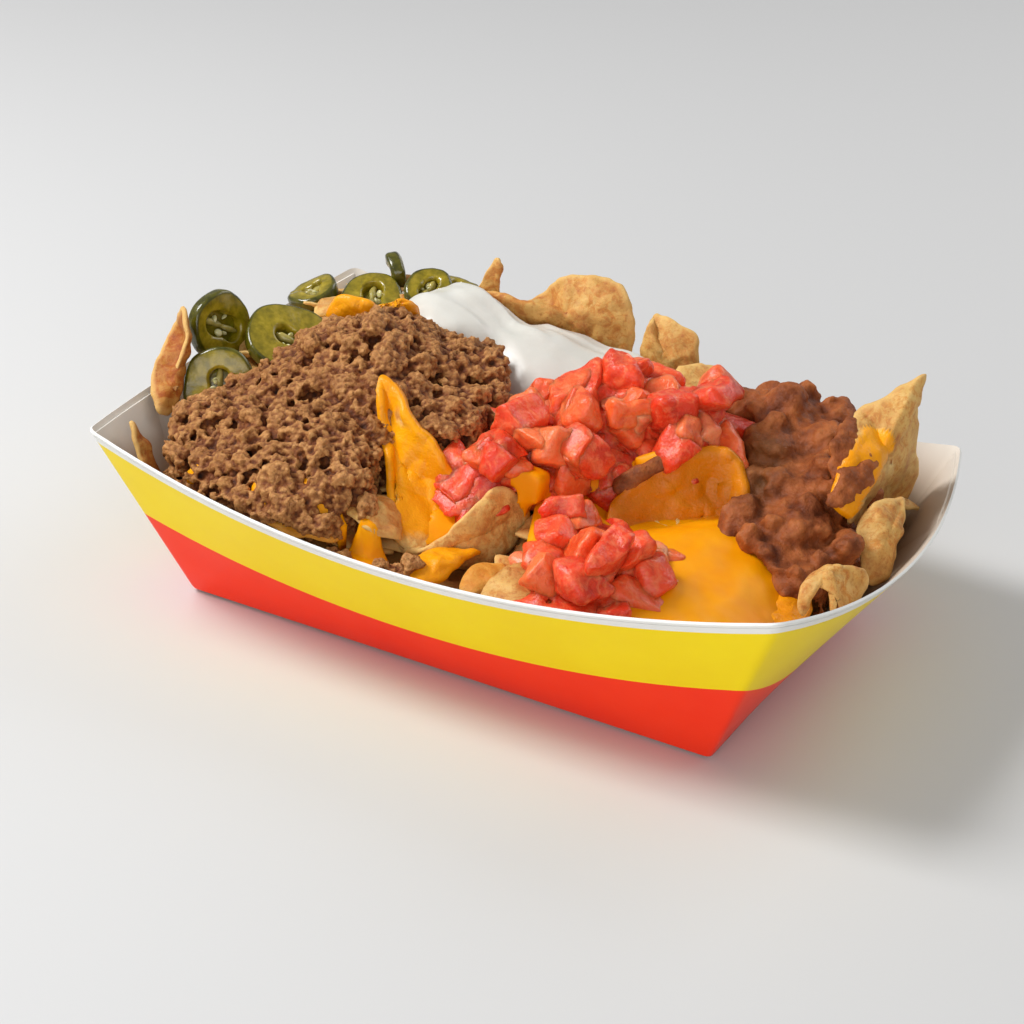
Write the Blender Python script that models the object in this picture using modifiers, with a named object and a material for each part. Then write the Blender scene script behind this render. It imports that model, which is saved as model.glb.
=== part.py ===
"""Loaded nachos in a folded paperboard food tray.

The scene is in metres, +Z up. The origin is the middle of the tray's flat bottom, +X runs along the tray
and +Y points away from the long side that faces the viewer. Every length below is in millimetres until a
mesh is made.
"""

import math
import random

import bmesh
import bpy
from mathutils import Euler, Matrix, Vector, noise

MM = 0.001

# Driving sizes of the tray, a folded tray of the three pound size
BASE_LENGTH = 144.0
BASE_WIDTH = 90.0
RIM_LENGTH = 181.0
RIM_WIDTH = 128.0
NEAR_LEFT_HEIGHT = 47.0
NEAR_RIGHT_HEIGHT = 51.0
FAR_RIGHT_HEIGHT = 43.0
FAR_LEFT_HEIGHT = 48.0
SIDE_BOW = 5.0
SIDE_DIP = 12.0
END_BOW = 10.0
END_DIP = 6.5
BOARD = 0.7
SIDE_STEPS = 14
END_STEPS = 10

# The collection that holds pieces while a union joins them
PIECES = "pieces"

# Fits between neighbours
GAP = 0.4
SINK = 4.0
SKIRT = 4.0
WALL_GAP = 1.8
EDGE = 1.2

# Chips
CHIP_THICKNESS = 1.7
CHIP_RINGS = 3
CHIP_SEGMENTS = 18
CHIP_WAVE = 0.8
CHIP_WAVE_SIZE = 14.0

# The heap of chips that fills the tray
BED_EDGE = 8.0
BED_RISE = 22.0
BED_CROWN = 6.0
BED_HALF_LENGTH = 88.0
BED_HALF_WIDTH = 66.0
BED_FALL = 8
BED_FOOT = 1.5

# Segments round and rings across each heap
BED_GRID = (36, 6)
BEEF_GRID = (56, 16)
CREAM_GRID = (26, 6)
BEAN_GRID = (28, 7)
SAUCE_GRID = (28, 5)
POCKET_GRID = (16, 3)
TOMATO_GRID = (20, 3)
FRONT_GRID = (16, 3)
ROOM_GRID = (20, 3)
BED_CHIP_GRID = (12, 2)
SMOOTH_STEPS = 12
SCATTER_LOOP = 48

# Toppings
CHEESE_DEPTH = 3.5
HILL_SOFTNESS = 2.5
CREASE = 1.8
CRUMB = 8.0
CRUMB_BUMP = 3.2
CLUMP = 16.0
CLUMP_BUMP = 2.5
LUMP = 14.0
LUMP_BUMP = 4.5
DICE = 10.5
DICE_SPACING = 12.2
DICE_FLATNESS = 0.8
DICE_REACH = 0.84
DICE_STAND = 3.5
DICE_FRONT = -BASE_WIDTH / 2 - DICE
SCATTER_SHAKE = 0.25
TOMATO_SEED = 5
FRONT_SEED = 8
PEPPER_THICKNESS = 4.2
PEPPER_SEGMENTS = 14
PEPPER_WOBBLE = 0.06

# Room that one heap leaves round another
BEEF_ROOM = 2.5
TOMATO_ROOM = 4.5
ROOM_SINK = 1.4 * SINK

# Base colour and roughness of each material
MATERIALS = {
    "tray_board": ((0.92, 0.9, 0.86), 0.5),
    "corn_chip": ((0.78, 0.55, 0.26), 0.6),
    "ground_beef": ((0.24, 0.13, 0.07), 0.7),
    "diced_tomato": ((0.75, 0.12, 0.07), 0.3),
    "sour_cream": ((0.9, 0.89, 0.86), 0.35),
    "refried_beans": ((0.24, 0.1, 0.06), 0.5),
    "cheese_sauce": ((0.95, 0.5, 0.03), 0.3),
    "jalapeno": ((0.14, 0.16, 0.02), 0.3),
}


# Hills are (x, y, height, radius along x, radius along y)
BED_HILLS = (
    (-76, 12, 46.5, 30, 34), (-66, 42, 47.5, 42, 34), (-24, 46, 44, 40, 36), (8, 48, 42, 36, 34),
    (64, 34, 38, 40, 34), (-87, 1, 45.5, 26, 26), (-83, 40, 49, 30, 30), (-68, 52, 50.5, 26, 28),
    (-54, 53, 52, 26, 24),
)
BED_DENTS = ((2, -48, 9, 20, 14),)
BEEF_HILLS = (
    (-46, -2, 62, 40, 42), (-66, -29, 46, 32, 34), (-28, 10, 57, 36, 34), (-42, -34, 50, 36, 34),
    (-22, -12, 51, 30, 30),
)
TOMATO_HILLS = ((4, 3, 61, 40, 30), (30, 19, 59, 36, 30), (-4, -18, 51, 34, 30))
FRONT_HILLS = ((36, -46, 41, 30, 26), (27, -26, 43, 20, 22))
CREAM_HILLS = ((-44, 36, 63, 30, 34), (-20, 38, 57, 40, 34), (6, 40, 54, 34, 30))
BEAN_HILLS = ((52, 36, 57, 32, 30), (66, 20, 52, 26, 30), (74, 0, 42, 24, 26), (68, -10, 40, 20, 22))

# Outlines in plan
BED_OUTLINE = (
    (-84, -20), (-80, -44), (-66, -57), (-30, -64), (0, -65), (30, -65), (62, -60), (82, -46), (90, -20),
    (92, 0), (90, 22), (82, 46), (62, 60), (30, 65), (0, 65), (-30, 65), (-62, 61), (-84, 52), (-94, 24),
    (-94, 2),
)
BEEF_OUTLINE = (
    (-82, -34), (-77, -46), (-67, -56), (-52, -62), (-38, -61), (-28, -52), (-25, -45), (-26, -38),
    (-29, -28), (-25, -23), (-14, -20), (-11, -12), (-12, -2), (-16, 10), (-25, 21), (-40, 20),
    (-52, 12), (-64, 0), (-74, -14), (-82, -24),
)
TOMATO_OUTLINE = (
    (-14, -33), (-8, -37), (0, -34), (10, -27), (18, -16), (28, -13), (36, -3), (44, 10), (46, 20),
    (40, 28), (30, 32), (20, 26), (6, 16), (-4, 6), (-8, -8), (-12, -22),
)
FRONT_OUTLINE = (
    (22, -61), (19, -50), (19, -38), (20, -26), (22, -17), (28, -18), (37, -23), (48, -31), (52, -42),
    (50, -54), (40, -62), (30, -63),
)
CREAM_OUTLINE = (
    (-58, 26), (-52, 42), (-38, 52), (-20, 55), (0, 56), (14, 53), (22, 44), (18, 34), (4, 24),
    (-6, 14), (-12, 4), (-20, 2), (-28, 8), (-36, 18), (-48, 18),
)
BEAN_OUTLINE = (
    (34, 42), (42, 48), (54, 51), (66, 52), (76, 42), (80, 26), (84, 8), (83, -4), (77, -14), (68, -15),
    (58, -9), (53, 1), (51, 12), (46, 26), (40, 34),
)
SAUCE_OUTLINE = (
    (11, -22), (15, -34), (21, -48), (24, -64), (42, -66), (64, -62), (78, -50), (83, -28), (81, -8),
    (76, 14), (64, 26), (44, 26), (24, 18), (12, 6), (8, -8),
)
POCKET_OUTLINE = (
    (-13, -41), (-7, -42), (-1, -36), (4, -28), (7, -21), (6, -10), (-2, -6), (-9, -12), (-10, -24),
)

# Outlines of chips, in space
LEFT_CHIP = (
    (-95, -17, 62), (-92, -20, 58), (-91, -22, 52), (-92, -26, 44), (-90, -29, 38), (-92, -32, 40),
    (-97, -26, 45), (-99, -19, 50), (-98, -14, 57),
)
SLIVER_CHIP = ((-87, -51, 45), (-84, -53, 40), (-81, -53, 34), (-76, -49, 24), (-79, -46, 24), (-86, -48, 38))
COATED_BACK_CHIP = (
    (-65, 8, 58), (-64, 9, 63), (-61, 9, 65), (-55, 10, 65), (-51, 13, 63), (-47, 17, 64), (-46, 20, 60),
    (-48, 21, 52), (-60, 14, 51),
)
FOLD_WALL = (
    (-32, -22, 61), (-31, -26, 58), (-28, -29, 51), (-24, -33, 45), (-21, -37, 39), (-14, -44, 32),
    (-6, -44, 28), (-3, -34, 30), (-6, -26, 38), (-12, -27, 47), (-20, -27, 54), (-27, -23, 59),
)
FOLD_FRONT = (
    (-12, -45, 29), (-7, -45, 31), (-3, -40, 35), (0, -34, 40), (3, -29, 44), (6, -25, 43), (8, -20, 36),
    (8, -25, 28), (5, -30, 25), (-3, -38, 24), (-9, -42, 25),
)
COATED_OUTLINE = (
    (30, -16, 35), (29, -11, 40), (31, -8, 43), (34, -3, 46), (38, 2, 48), (45, 8, 49), (50, 9, 48),
    (54, 6, 42), (57, -2, 36), (49, -12, 32), (40, -18, 32),
)
TALL_CHIP = (
    (84, 42, 70), (83, 43, 64), (87, 38, 54), (88, 41, 42), (85, 41, 32), (80, 32, 30), (79, 20, 34),
    (80, 8, 43), (76, 6, 48), (74, 18, 56), (72, 31, 61), (77, 35, 64),
)
RIGHT_CHIP = (
    (89, 21, 46), (91, 18, 44), (92, 15, 40), (92, 11, 34), (91, 7, 30), (88, 3, 31), (85, 5, 37),
    (83, 7, 42), (84, 11, 45), (86, 15, 47),
)
CURLED_CHIP = (
    (84, -29, 35), (82, -26, 38), (84, -24, 40), (88, -25, 41), (91, -25, 39), (91, -25, 34), (94, -14, 37),
    (94, -13, 41), (91, -16, 43), (87, -19, 43), (84, -20, 42), (82, -22, 38),
)
WAVY_CHIP = (
    (-43, 48, 57), (-37, 53, 55), (-31, 59, 56), (-24, 58, 63), (-17, 60, 65), (-8, 60, 65), (-3, 58, 61),
    (0, 57, 52), (-4, 58, 40), (-20, 58, 38), (-36, 54, 42),
)
CURL_TIP = ((-38, 50, 67), (-40, 50, 67), (-43, 48, 59), (-42, 49, 54), (-38, 51, 54), (-39, 50, 60))
BACK_CHIP = (
    (3, 58, 56), (2, 62, 57), (4, 63, 58), (10, 61, 58), (16, 61, 55), (18, 57, 46), (16, 58, 38),
    (6, 59, 37), (2, 58, 46),
)

# A chip is one or two sheets, each an outline and the way its middle bulges
CHIPS = {
    "chip_left": ("corn_chip", [(LEFT_CHIP, (3, 2, 0))]),
    "chip_sliver": ("corn_chip", [(SLIVER_CHIP, (1, 0.5, 0))]),
    "chip_back_coated": ("cheese_sauce", [(COATED_BACK_CHIP, (0, -3, 1))]),
    "chip_fold": ("corn_chip", [(FOLD_WALL, (-3, 1, -2)), (FOLD_FRONT, (2, -3, 0))]),
    "chip_tall": ("corn_chip", [(TALL_CHIP, (3, -4, 2))]),
    "chip_right": ("corn_chip", [(RIGHT_CHIP, (2, -3, 1))]),
    "chip_curled": ("corn_chip", [(CURLED_CHIP, (0, -1, 5))]),
    "chip_wavy": ("corn_chip", [(WAVY_CHIP, (2, -4, 2)), (CURL_TIP, (1, -1, 0))]),
    "chip_back": ("corn_chip", [(BACK_CHIP, (0, -3, 1))]),
}
COATED_CHIP = (COATED_OUTLINE, (3, 4, -4))

# Half hidden chips that are part of the heap
BED_CHIPS = (
    (
        ((-28, -48, 38), (-19, -52, 36), (-12, -48, 32), (-16, -39, 34), (-20, -36, 37), (-25, -42, 39)),
        (1, -2, 2),
    ),
    (
        ((-5, -57, 30), (0, -59, 29), (3, -52, 29), (5, -43, 31), (5, -38, 31), (-2, -40, 30), (-6, -46, 30)),
        (0, -1, 2),
    ),
    (
        ((7, -53, 30), (8, -46, 31), (13, -41, 31), (16, -45, 30), (15, -52, 29), (12, -56, 29)),
        (0, -1, 1.5),
    ),
    (
        ((17, -59, 31), (15, -51, 32), (16, -45, 33), (20, -42, 34), (26, -46, 34), (27, -58, 33)),
        (0, -1, 1.5),
    ),
    (
        (
            (-47, -56, 35), (-42, -51, 37), (-33, -49, 37), (-26, -49, 35), (-24, -57, 33), (-33, -60, 33),
            (-42, -61, 34),
        ),
        (0, -1, 1.5),
    ),
    (
        ((23, 51, 47), (25, 55, 47), (30, 55, 45), (32, 50, 43), (30, 46, 36), (23, 47, 36)),
        (0, -2, 1),
    ),
)

# Pepper slices are (middle, the way they face, radius, radius of the hole)
PEPPERS = (
    ((-82, -18, 43.5), (0.38, -0.8, 0.46), 9.8, 3.8),
    ((-92, -3, 53), (0.93, -0.2, 0.2), 9.5, 5.0),
    ((-75, 6, 49.5), (0.35, -0.25, 0.9), 12.2, 4.2),
    ((-71, 40, 51), (0.1, -0.3, 0.95), 8.8, 4.0),
    ((-87, 36, 50), (-0.3, -0.2, 0.9), 7.0, 3.0),
    ((-55, 42, 57), (0.3, -0.5, 0.8), 6.5, 2.6),
    ((-71, 53, 55), (0.75, 0.5, 0.2), 5.5, 2.2),
    ((-53, 55, 53), (0.0, 0.1, 0.99), 7.0, 3.2),
)


def clear_scene():
    """Removes whatever the file holds."""
    for obj in list(bpy.data.objects):
        bpy.data.objects.remove(obj)


def food_material(name, color, roughness):
    """A plain material: base colour and roughness on a Principled BSDF."""
    material = bpy.data.materials.new(name)
    material.use_nodes = True
    shader = material.node_tree.nodes["Principled BSDF"]
    shader.inputs["Base Color"].default_value = (*color, 1.0)
    shader.inputs["Roughness"].default_value = roughness
    shader.inputs["Metallic"].default_value = 0.0
    return material


def collection_named(name):
    """The collection of this name, made on its first use."""
    found = bpy.data.collections.get(name)
    if found is None:
        found = bpy.data.collections.new(name)
        bpy.context.scene.collection.children.link(found)
    return found


def finish_object(name, bm, material, group="nachos"):
    """An object in metres from a bmesh in millimetres, smooth shaded."""
    bmesh.ops.scale(bm, vec=Vector((MM, MM, MM)), verts=bm.verts)
    bmesh.ops.recalc_face_normals(bm, faces=bm.faces)
    mesh = bpy.data.meshes.new(name)
    bm.to_mesh(mesh)
    bm.free()
    if material:
        mesh.materials.append(material)
    mesh.shade_smooth()
    obj = bpy.data.objects.new(name, mesh)
    collection_named(group).objects.link(obj)
    return obj


def arch(t):
    """0 at both ends of a side and 1 in its middle."""
    return 4 * t * (1 - t)


def rim_point(start, end, bow, dip, outward, t):
    """A point of a rim that runs from one corner to the next, bowed outward and dipping in its middle."""
    flat = start.lerp(end, t) + outward * bow * arch(t)
    flat.z -= dip * arch(t)
    return flat


def build_tray(material):
    """One folded sheet of board: four sides ruled from the straight bottom folds up to the curved rim."""
    x = RIM_LENGTH / 2
    y = RIM_WIDTH / 2
    top = [
        Vector((-x, -y, NEAR_LEFT_HEIGHT)),
        Vector((x, -y, NEAR_RIGHT_HEIGHT)),
        Vector((x, y, FAR_RIGHT_HEIGHT)),
        Vector((-x, y, FAR_LEFT_HEIGHT)),
    ]
    x = BASE_LENGTH / 2
    y = BASE_WIDTH / 2
    bottom = [Vector((-x, -y, 0)), Vector((x, -y, 0)), Vector((x, y, 0)), Vector((-x, y, 0))]
    sides = (
        (SIDE_BOW, SIDE_DIP, Vector((0, -1, 0)), SIDE_STEPS),
        (END_BOW, END_DIP, Vector((1, 0, 0)), END_STEPS),
        (SIDE_BOW, SIDE_DIP, Vector((0, 1, 0)), SIDE_STEPS),
        (END_BOW, END_DIP, Vector((-1, 0, 0)), END_STEPS),
    )
    bm = bmesh.new()
    rim = []
    base = []
    for i, (bow, dip, outward, steps) in enumerate(sides):
        j = (i + 1) % len(sides)
        for step in range(steps):
            t = step / steps
            rim.append(bm.verts.new(rim_point(top[i], top[j], bow, dip, outward, t)))
            base.append(bm.verts.new(bottom[i].lerp(bottom[j], t)))
    for i in range(len(rim)):
        j = (i + 1) % len(rim)
        bm.faces.new((base[i], base[j], rim[j], rim[i]))
    bm.faces.new(base[::-1])
    obj = finish_object("tray", bm, material)
    obj.data.set_sharp_from_angle(angle=math.radians(30))
    shell = obj.modifiers.new("board", "SOLIDIFY")
    shell.thickness = BOARD * MM
    shell.offset = -1
    shell.use_even_offset = True
    return obj


def wall_scale(x, y, z):
    """How far along the line from the tray's axis to (x, y) the inside of the wall is, at height z."""
    low = 0.0
    high = 3.0
    for _ in range(20):
        k = (low + high) / 2
        along = max(0.0, 1 - (k * x / (RIM_LENGTH / 2)) ** 2)
        across = max(0.0, 1 - (k * y / (RIM_WIDTH / 2)) ** 2)
        side_lean = (RIM_WIDTH - BASE_WIDTH) / 2 + SIDE_BOW * along
        end_lean = (RIM_LENGTH - BASE_LENGTH) / 2 + END_BOW * across
        reach_y = BASE_WIDTH / 2 + z * side_lean / (NEAR_RIGHT_HEIGHT - SIDE_DIP * along) - WALL_GAP
        reach_x = BASE_LENGTH / 2 + z * end_lean / (NEAR_RIGHT_HEIGHT - END_DIP * across) - WALL_GAP
        if abs(k * x) < reach_x and abs(k * y) < reach_y:
            low = k
        else:
            high = k
    return low


def kept_inside(point):
    """The point, pulled in to the inside of the tray's wall where it would be in or past it."""
    if point.z > NEAR_RIGHT_HEIGHT:
        return point
    scale = wall_scale(point.x, point.y, point.z)
    if scale >= 1:
        return point
    return Vector((point.x * scale, point.y * scale, point.z))


def smooth_loop(points, count):
    """A closed smooth curve through the points, as count points spaced evenly along it."""
    dense = []
    n = len(points)
    for i in range(n):
        a, b, c, d = (Vector(points[(i + k) % n]) for k in (-1, 0, 1, 2))
        for step in range(SMOOTH_STEPS):
            t = step / SMOOTH_STEPS
            square = (2 * a - 5 * b + 4 * c - d) * t**2
            cube = (3 * b - a - 3 * c + d) * t**3
            dense.append((2 * b + (c - a) * t + square + cube) / 2)
    lengths = [0.0]
    for i, p in enumerate(dense):
        lengths.append(lengths[-1] + (dense[(i + 1) % len(dense)] - p).length)
    curve = []
    at = 0
    for k in range(count):
        target = lengths[-1] * k / count
        while lengths[at + 1] < target:
            at += 1
        t = (target - lengths[at]) / max(lengths[at + 1] - lengths[at], 1e-9)
        curve.append(dense[at].lerp(dense[(at + 1) % len(dense)], t))
    return curve


def ring_grid(bm, center, loops):
    """Faces from a centre point out over rings of points. Returns the rings of vertices and the centre."""
    middle = bm.verts.new(center)
    rings = [[bm.verts.new(p) for p in loop] for loop in loops]
    n = len(rings[0])
    for i in range(n):
        j = (i + 1) % n
        bm.faces.new((middle, rings[0][i], rings[0][j]))
        for inner, outer in zip(rings, rings[1:]):
            bm.faces.new((inner[i], outer[i], outer[j]))
            bm.faces.new((inner[i], outer[j], inner[j]))
    return rings, middle


def close_rims(bm, upper, lower):
    """A band of faces between two rims with the same number of points."""
    n = len(upper)
    for i in range(n):
        j = (i + 1) % n
        bm.faces.new((upper[i], lower[i], lower[j]))
        bm.faces.new((upper[i], lower[j], upper[j]))


def surface_normals(center, loops):
    """Normals of a ring grid, from a throwaway mesh of it."""
    bm = bmesh.new()
    rings, middle = ring_grid(bm, center, loops)
    bm.normal_update()
    normals = [[v.normal.copy() for v in ring] for ring in rings]
    middle_normal = middle.normal.copy()
    bm.free()
    return normals, middle_normal


def chip_mesh(outline, bulge, thickness, grow=0.0, segments=CHIP_SEGMENTS, rings=CHIP_RINGS):
    """A thin curved sheet inside a closed outline of points, its middle pushed out by the bulge."""
    outline = smooth_loop(outline, segments)
    center = sum(outline, Vector()) / len(outline)
    bulge = Vector(bulge)

    def place(p, share):
        arm = (p - center) * share
        if grow and share == 1:
            arm += arm.normalized() * grow
        at = center + arm
        wave = CHIP_WAVE * noise.noise(at / CHIP_WAVE_SIZE)
        return at + bulge * (1 - share**2) + bulge.normalized() * wave

    shares = [(i + 1) / rings for i in range(rings)]
    loops = [[place(p, share) for p in outline] for share in shares]
    middle = place(center, 0)
    normals, middle_normal = surface_normals(middle, loops)
    half = thickness / 2
    bm = bmesh.new()
    sides = []
    for sign in (1, -1):
        moved = [[p + n * half * sign for p, n in zip(loop, row)] for loop, row in zip(loops, normals)]
        sides.append(ring_grid(bm, middle + middle_normal * half * sign, moved)[0][-1])
    close_rims(bm, sides[0], sides[1])
    return bm


def heap_height(x, y, hills):
    """The smooth top of several round hills, each (x, y, height, radius along x, radius along y)."""
    total = 0.0
    for hx, hy, height, rx, ry in hills:
        d = ((x - hx) / rx) ** 2 + ((y - hy) / ry) ** 2
        total += math.exp((height - height * d / 2) / HILL_SOFTNESS)
    return HILL_SOFTNESS * math.log(total)


def mound_mesh(outline, top, rest, segments, rings, bump=None, sink=SINK, raised=0.0, skirt=0.0):
    """A solid heap inside an outline in plan. Its top is a height over the plan, kept above what it rests on,
    and its bottom is sunk below that. A raised one with a skirt makes room for itself in its neighbours."""

    def upper(x, y):
        return max(top(x, y), rest(x, y) + EDGE)

    def lower(x, y):
        return rest(x, y) - sink

    def lifted(center, loop, share, height):
        points = [center.lerp(p, share) for p in loop]
        return [Vector((p.x, p.y, height(p.x, p.y))) for p in points]

    outline = smooth_loop([(x, y, 0) for x, y in outline], segments)
    center = sum(outline, Vector()) / len(outline)
    top_loop = [kept_inside(p) for p in lifted(center, outline, 1, upper)]
    low_loop = [kept_inside(p) for p in lifted(center, outline, 1, lower)]
    shares = [math.sin(math.pi / 2 * (i + 1) / rings) for i in range(rings)]
    loops = [lifted(center, top_loop, share, upper) for share in shares]
    middle = Vector((center.x, center.y, upper(center.x, center.y)))
    if bump:
        normals, middle_normal = surface_normals(middle, loops)
        middle += middle_normal * bump(middle)
        for loop, row in zip(loops[:-1], normals):
            for i, (p, n) in enumerate(zip(loop, row)):
                loop[i] = p + n * bump(p)
    low = [lifted(center, low_loop, share, lower) for share in (0.5, 1.0)]
    if skirt:
        loops.append([skirted(p, center, skirt) for p in loops[-1]])
        low.append([skirted(p, center, skirt) for p in low[-1]])
    if raised:
        middle.z += raised
        loops = [[p + Vector((0, 0, raised)) for p in loop] for loop in loops]
    bm = bmesh.new()
    top_rings = ring_grid(bm, middle, loops)[0]
    low_rings = ring_grid(bm, Vector((center.x, center.y, lower(center.x, center.y))), low)[0]
    close_rims(bm, top_rings[-1], low_rings[-1])
    return bm


def skirted(point, center, reach):
    """The point moved outward from a centre in plan."""
    arm = Vector((point.x - center.x, point.y - center.y, 0))
    return point + arm.normalized() * reach


def bed_height(x, y):
    """Top of the heap of chips above a point of the tray."""
    along = max(0.0, 1 - (abs(x) / BED_HALF_LENGTH) ** BED_FALL)
    across = 1 - (y / BED_HALF_WIDTH) ** 2
    heap = BED_EDGE + (BED_RISE + BED_CROWN * across) * along
    for dx, dy, depth, rx, ry in BED_DENTS:
        heap -= depth * math.exp(-(((x - dx) / rx) ** 2) - ((y - dy) / ry) ** 2)
    return max(heap, heap_height(x, y, BED_HILLS))


def cell_bump(p, size):
    """1 on the top of each rounded grain of a packed heap and 0 in the creases between grains."""
    nearest, second = noise.voronoi(p / size)[0][:2]
    return math.sqrt(min(1.0, (second - nearest) * CREASE))


def apply_modifiers(obj):
    """Puts the mesh that an object's modifiers make in place of its own."""
    graph = bpy.context.evaluated_depsgraph_get()
    mesh = bpy.data.meshes.new_from_object(obj.evaluated_get(graph))
    obj.modifiers.clear()
    old = obj.data
    obj.data = mesh
    bpy.data.meshes.remove(old)


def keep_largest(obj):
    """Drops every part of a mesh that isn't joined to its largest part."""
    bm = bmesh.new()
    bm.from_mesh(obj.data)
    left = set(bm.verts)
    parts = []
    while left:
        stack = [left.pop()]
        part = []
        while stack:
            vert = stack.pop()
            part.append(vert)
            for edge in vert.link_edges:
                other = edge.other_vert(vert)
                if other in left:
                    left.remove(other)
                    stack.append(other)
        parts.append(part)
    parts.sort(key=len)
    for part in parts[:-1]:
        bmesh.ops.delete(bm, geom=part, context="VERTS")
    bm.to_mesh(obj.data)
    bm.free()


def fuse(obj, pieces):
    """Joins the pieces, which are in the collection for them, with one Boolean union, then removes them."""
    join = obj.modifiers.new("join", "BOOLEAN")
    join.operation = "UNION"
    join.operand_type = "COLLECTION"
    join.collection = collection_named(PIECES)
    join.solver = "EXACT"
    join.use_self = True
    apply_modifiers(obj)
    for piece in pieces:
        bpy.data.objects.remove(piece)
    keep_largest(obj)


def boxes_meet(a, b):
    """Whether the boxes round two meshes overlap."""
    for axis in range(3):
        lows = [min(v.co[axis] for v in obj.data.vertices) for obj in (a, b)]
        highs = [max(v.co[axis] for v in obj.data.vertices) for obj in (a, b)]
        if max(lows) > min(highs):
            return False
    return True


def carve(obj, tools):
    """Cuts room for its neighbours out of an object."""
    for tool in tools:
        if not boxes_meet(obj, tool):
            continue
        cut = obj.modifiers.new("cut", "BOOLEAN")
        cut.operation = "DIFFERENCE"
        cut.object = tool
        cut.solver = "EXACT"
        apply_modifiers(obj)
    keep_largest(obj)


def box_mesh(center, size, turn):
    """A dice: a box of three sides, turned by three angles."""
    bm = bmesh.new()
    bmesh.ops.create_cube(bm, size=1.0)
    matrix = Matrix.Translation(center) @ turn.to_matrix().to_4x4() @ Matrix.Diagonal((*size, 1.0))
    bmesh.ops.transform(bm, matrix=matrix, verts=bm.verts)
    return bm


def pepper_mesh(center, facing, radius, hole, grow=0.0):
    """A slice across a pepper: a ring with a rounded skin and an uneven hole off its middle."""
    facing = Vector(facing).normalized()
    side = facing.orthogonal().normalized()
    up = facing.cross(side)
    center = Vector(center)
    half = PEPPER_THICKNESS / 2 + grow
    outer = radius + grow
    inner = hole - grow
    profile = ((inner, half), (outer - 1.0, half), (outer, 0.0), (outer - 1.0, -half), (inner, -half))
    bm = bmesh.new()
    rings = []
    for r, height in profile:
        ring = []
        for i in range(PEPPER_SEGMENTS):
            angle = 2 * math.pi * i / PEPPER_SEGMENTS
            wobble = 1 + PEPPER_WOBBLE * math.cos(2 * angle + radius) * (1 if r > inner else 2)
            point = center + (side * math.cos(angle) + up * math.sin(angle)) * r * wobble + facing * height
            ring.append(bm.verts.new(point))
        rings.append(ring)
    for a, b in zip(rings, rings[1:] + rings[:1]):
        close_rims(bm, a, b)
    return bm


def plan_middle(outline):
    """The mean of an outline's points in plan."""
    return Vector((sum(x for x, y in outline), sum(y for x, y in outline))) / len(outline)


def inside(x, y, loop):
    """Whether a point in plan is inside a closed loop, by counting the sides that a line from it crosses."""
    odd = False
    for a, b in zip(loop, loop[1:] + loop[:1]):
        if (a.y > y) != (b.y > y) and x < a.x + (y - a.y) / (b.y - a.y) * (b.x - a.x):
            odd = not odd
    return odd


def scattered(outline, spacing, rng):
    """Points of a shaken grid inside an outline in plan."""
    loop = smooth_loop([(x, y, 0) for x, y in outline], SCATTER_LOOP)
    right = max(p.x for p in loop)
    back = max(p.y for p in loop)
    found = []
    y = min(p.y for p in loop)
    odd_row = False
    while y < back:
        x = min(p.x for p in loop) + (spacing / 2 if odd_row else 0)
        while x < right:
            shaken_x = x + rng.uniform(-SCATTER_SHAKE, SCATTER_SHAKE) * spacing
            shaken_y = y + rng.uniform(-SCATTER_SHAKE, SCATTER_SHAKE) * spacing
            if inside(shaken_x, shaken_y, loop):
                found.append((shaken_x, shaken_y))
            x += spacing
        y += spacing * math.sqrt(3) / 2
        odd_row = not odd_row
    return found


def add_dice(heap, outline, hills, seed, material):
    """Fuses dice onto the top of a heap, inside the tray's near wall."""
    rng = random.Random(seed)
    middle = plan_middle(outline)
    inner = [tuple(middle.lerp(Vector(p), DICE_REACH)) for p in outline]
    pieces = []
    for x, y in scattered(inner, DICE_SPACING, rng):
        size = [DICE * rng.uniform(0.75, 1.2) for _ in range(3)]
        size[2] *= DICE_FLATNESS
        turn = Euler((rng.uniform(-0.6, 0.6), rng.uniform(-0.6, 0.6), rng.uniform(0, math.pi)))
        height = heap_height(x, y, hills) + rng.uniform(-2.5, 0.5)
        center = Vector((x, max(y, DICE_FRONT), height))
        pieces.append(finish_object("dice", box_mesh(center, size, turn), material, PIECES))
    fuse(heap, pieces)


def hill_top(hills, lowered=0.0):
    """The height of some hills as a function of the place in plan."""
    return lambda x, y: heap_height(x, y, hills) - lowered


def ground(x, y):
    """What the heap of chips rests on: its own foot is sunk by SINK below this."""
    return BED_FOOT + SINK


def cheese_top(x, y):
    """The level of the cheese sauce, which lies on the heap of chips."""
    return bed_height(x, y) + CHEESE_DEPTH


def crumbs(p):
    """Relief of ground meat: grains on soft clumps."""
    return CRUMB_BUMP * cell_bump(p, CRUMB) + CLUMP_BUMP * noise.noise(p / CLUMP)


def lumps(p):
    """Relief of mashed beans."""
    return LUMP_BUMP * noise.noise(p / LUMP)


def cutter(bm):
    """A helper that makes room for a piece in its neighbours."""
    obj = finish_object("cutter", bm, None, "cutters")
    obj.hide_render = True
    obj.display_type = "WIRE"
    return obj


def chip_cutter(outline, bulge, segments=CHIP_SEGMENTS, rings=CHIP_RINGS):
    """Room for a chip, GAP wider all round."""
    return cutter(chip_mesh(outline, bulge, CHIP_THICKNESS + 2 * GAP, GAP, segments, rings))


def heap_cutter(outline, hills, grow):
    """Room for a whole heap, down to the bottom of the tray."""
    middle = plan_middle(outline)
    wide = []
    for p in outline:
        arm = Vector(p) - middle
        wide.append(tuple(middle + arm * (1 + grow / arm.length)))
    return cutter(mound_mesh(wide, hill_top(hills, -grow), ground, *ROOM_GRID))


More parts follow.
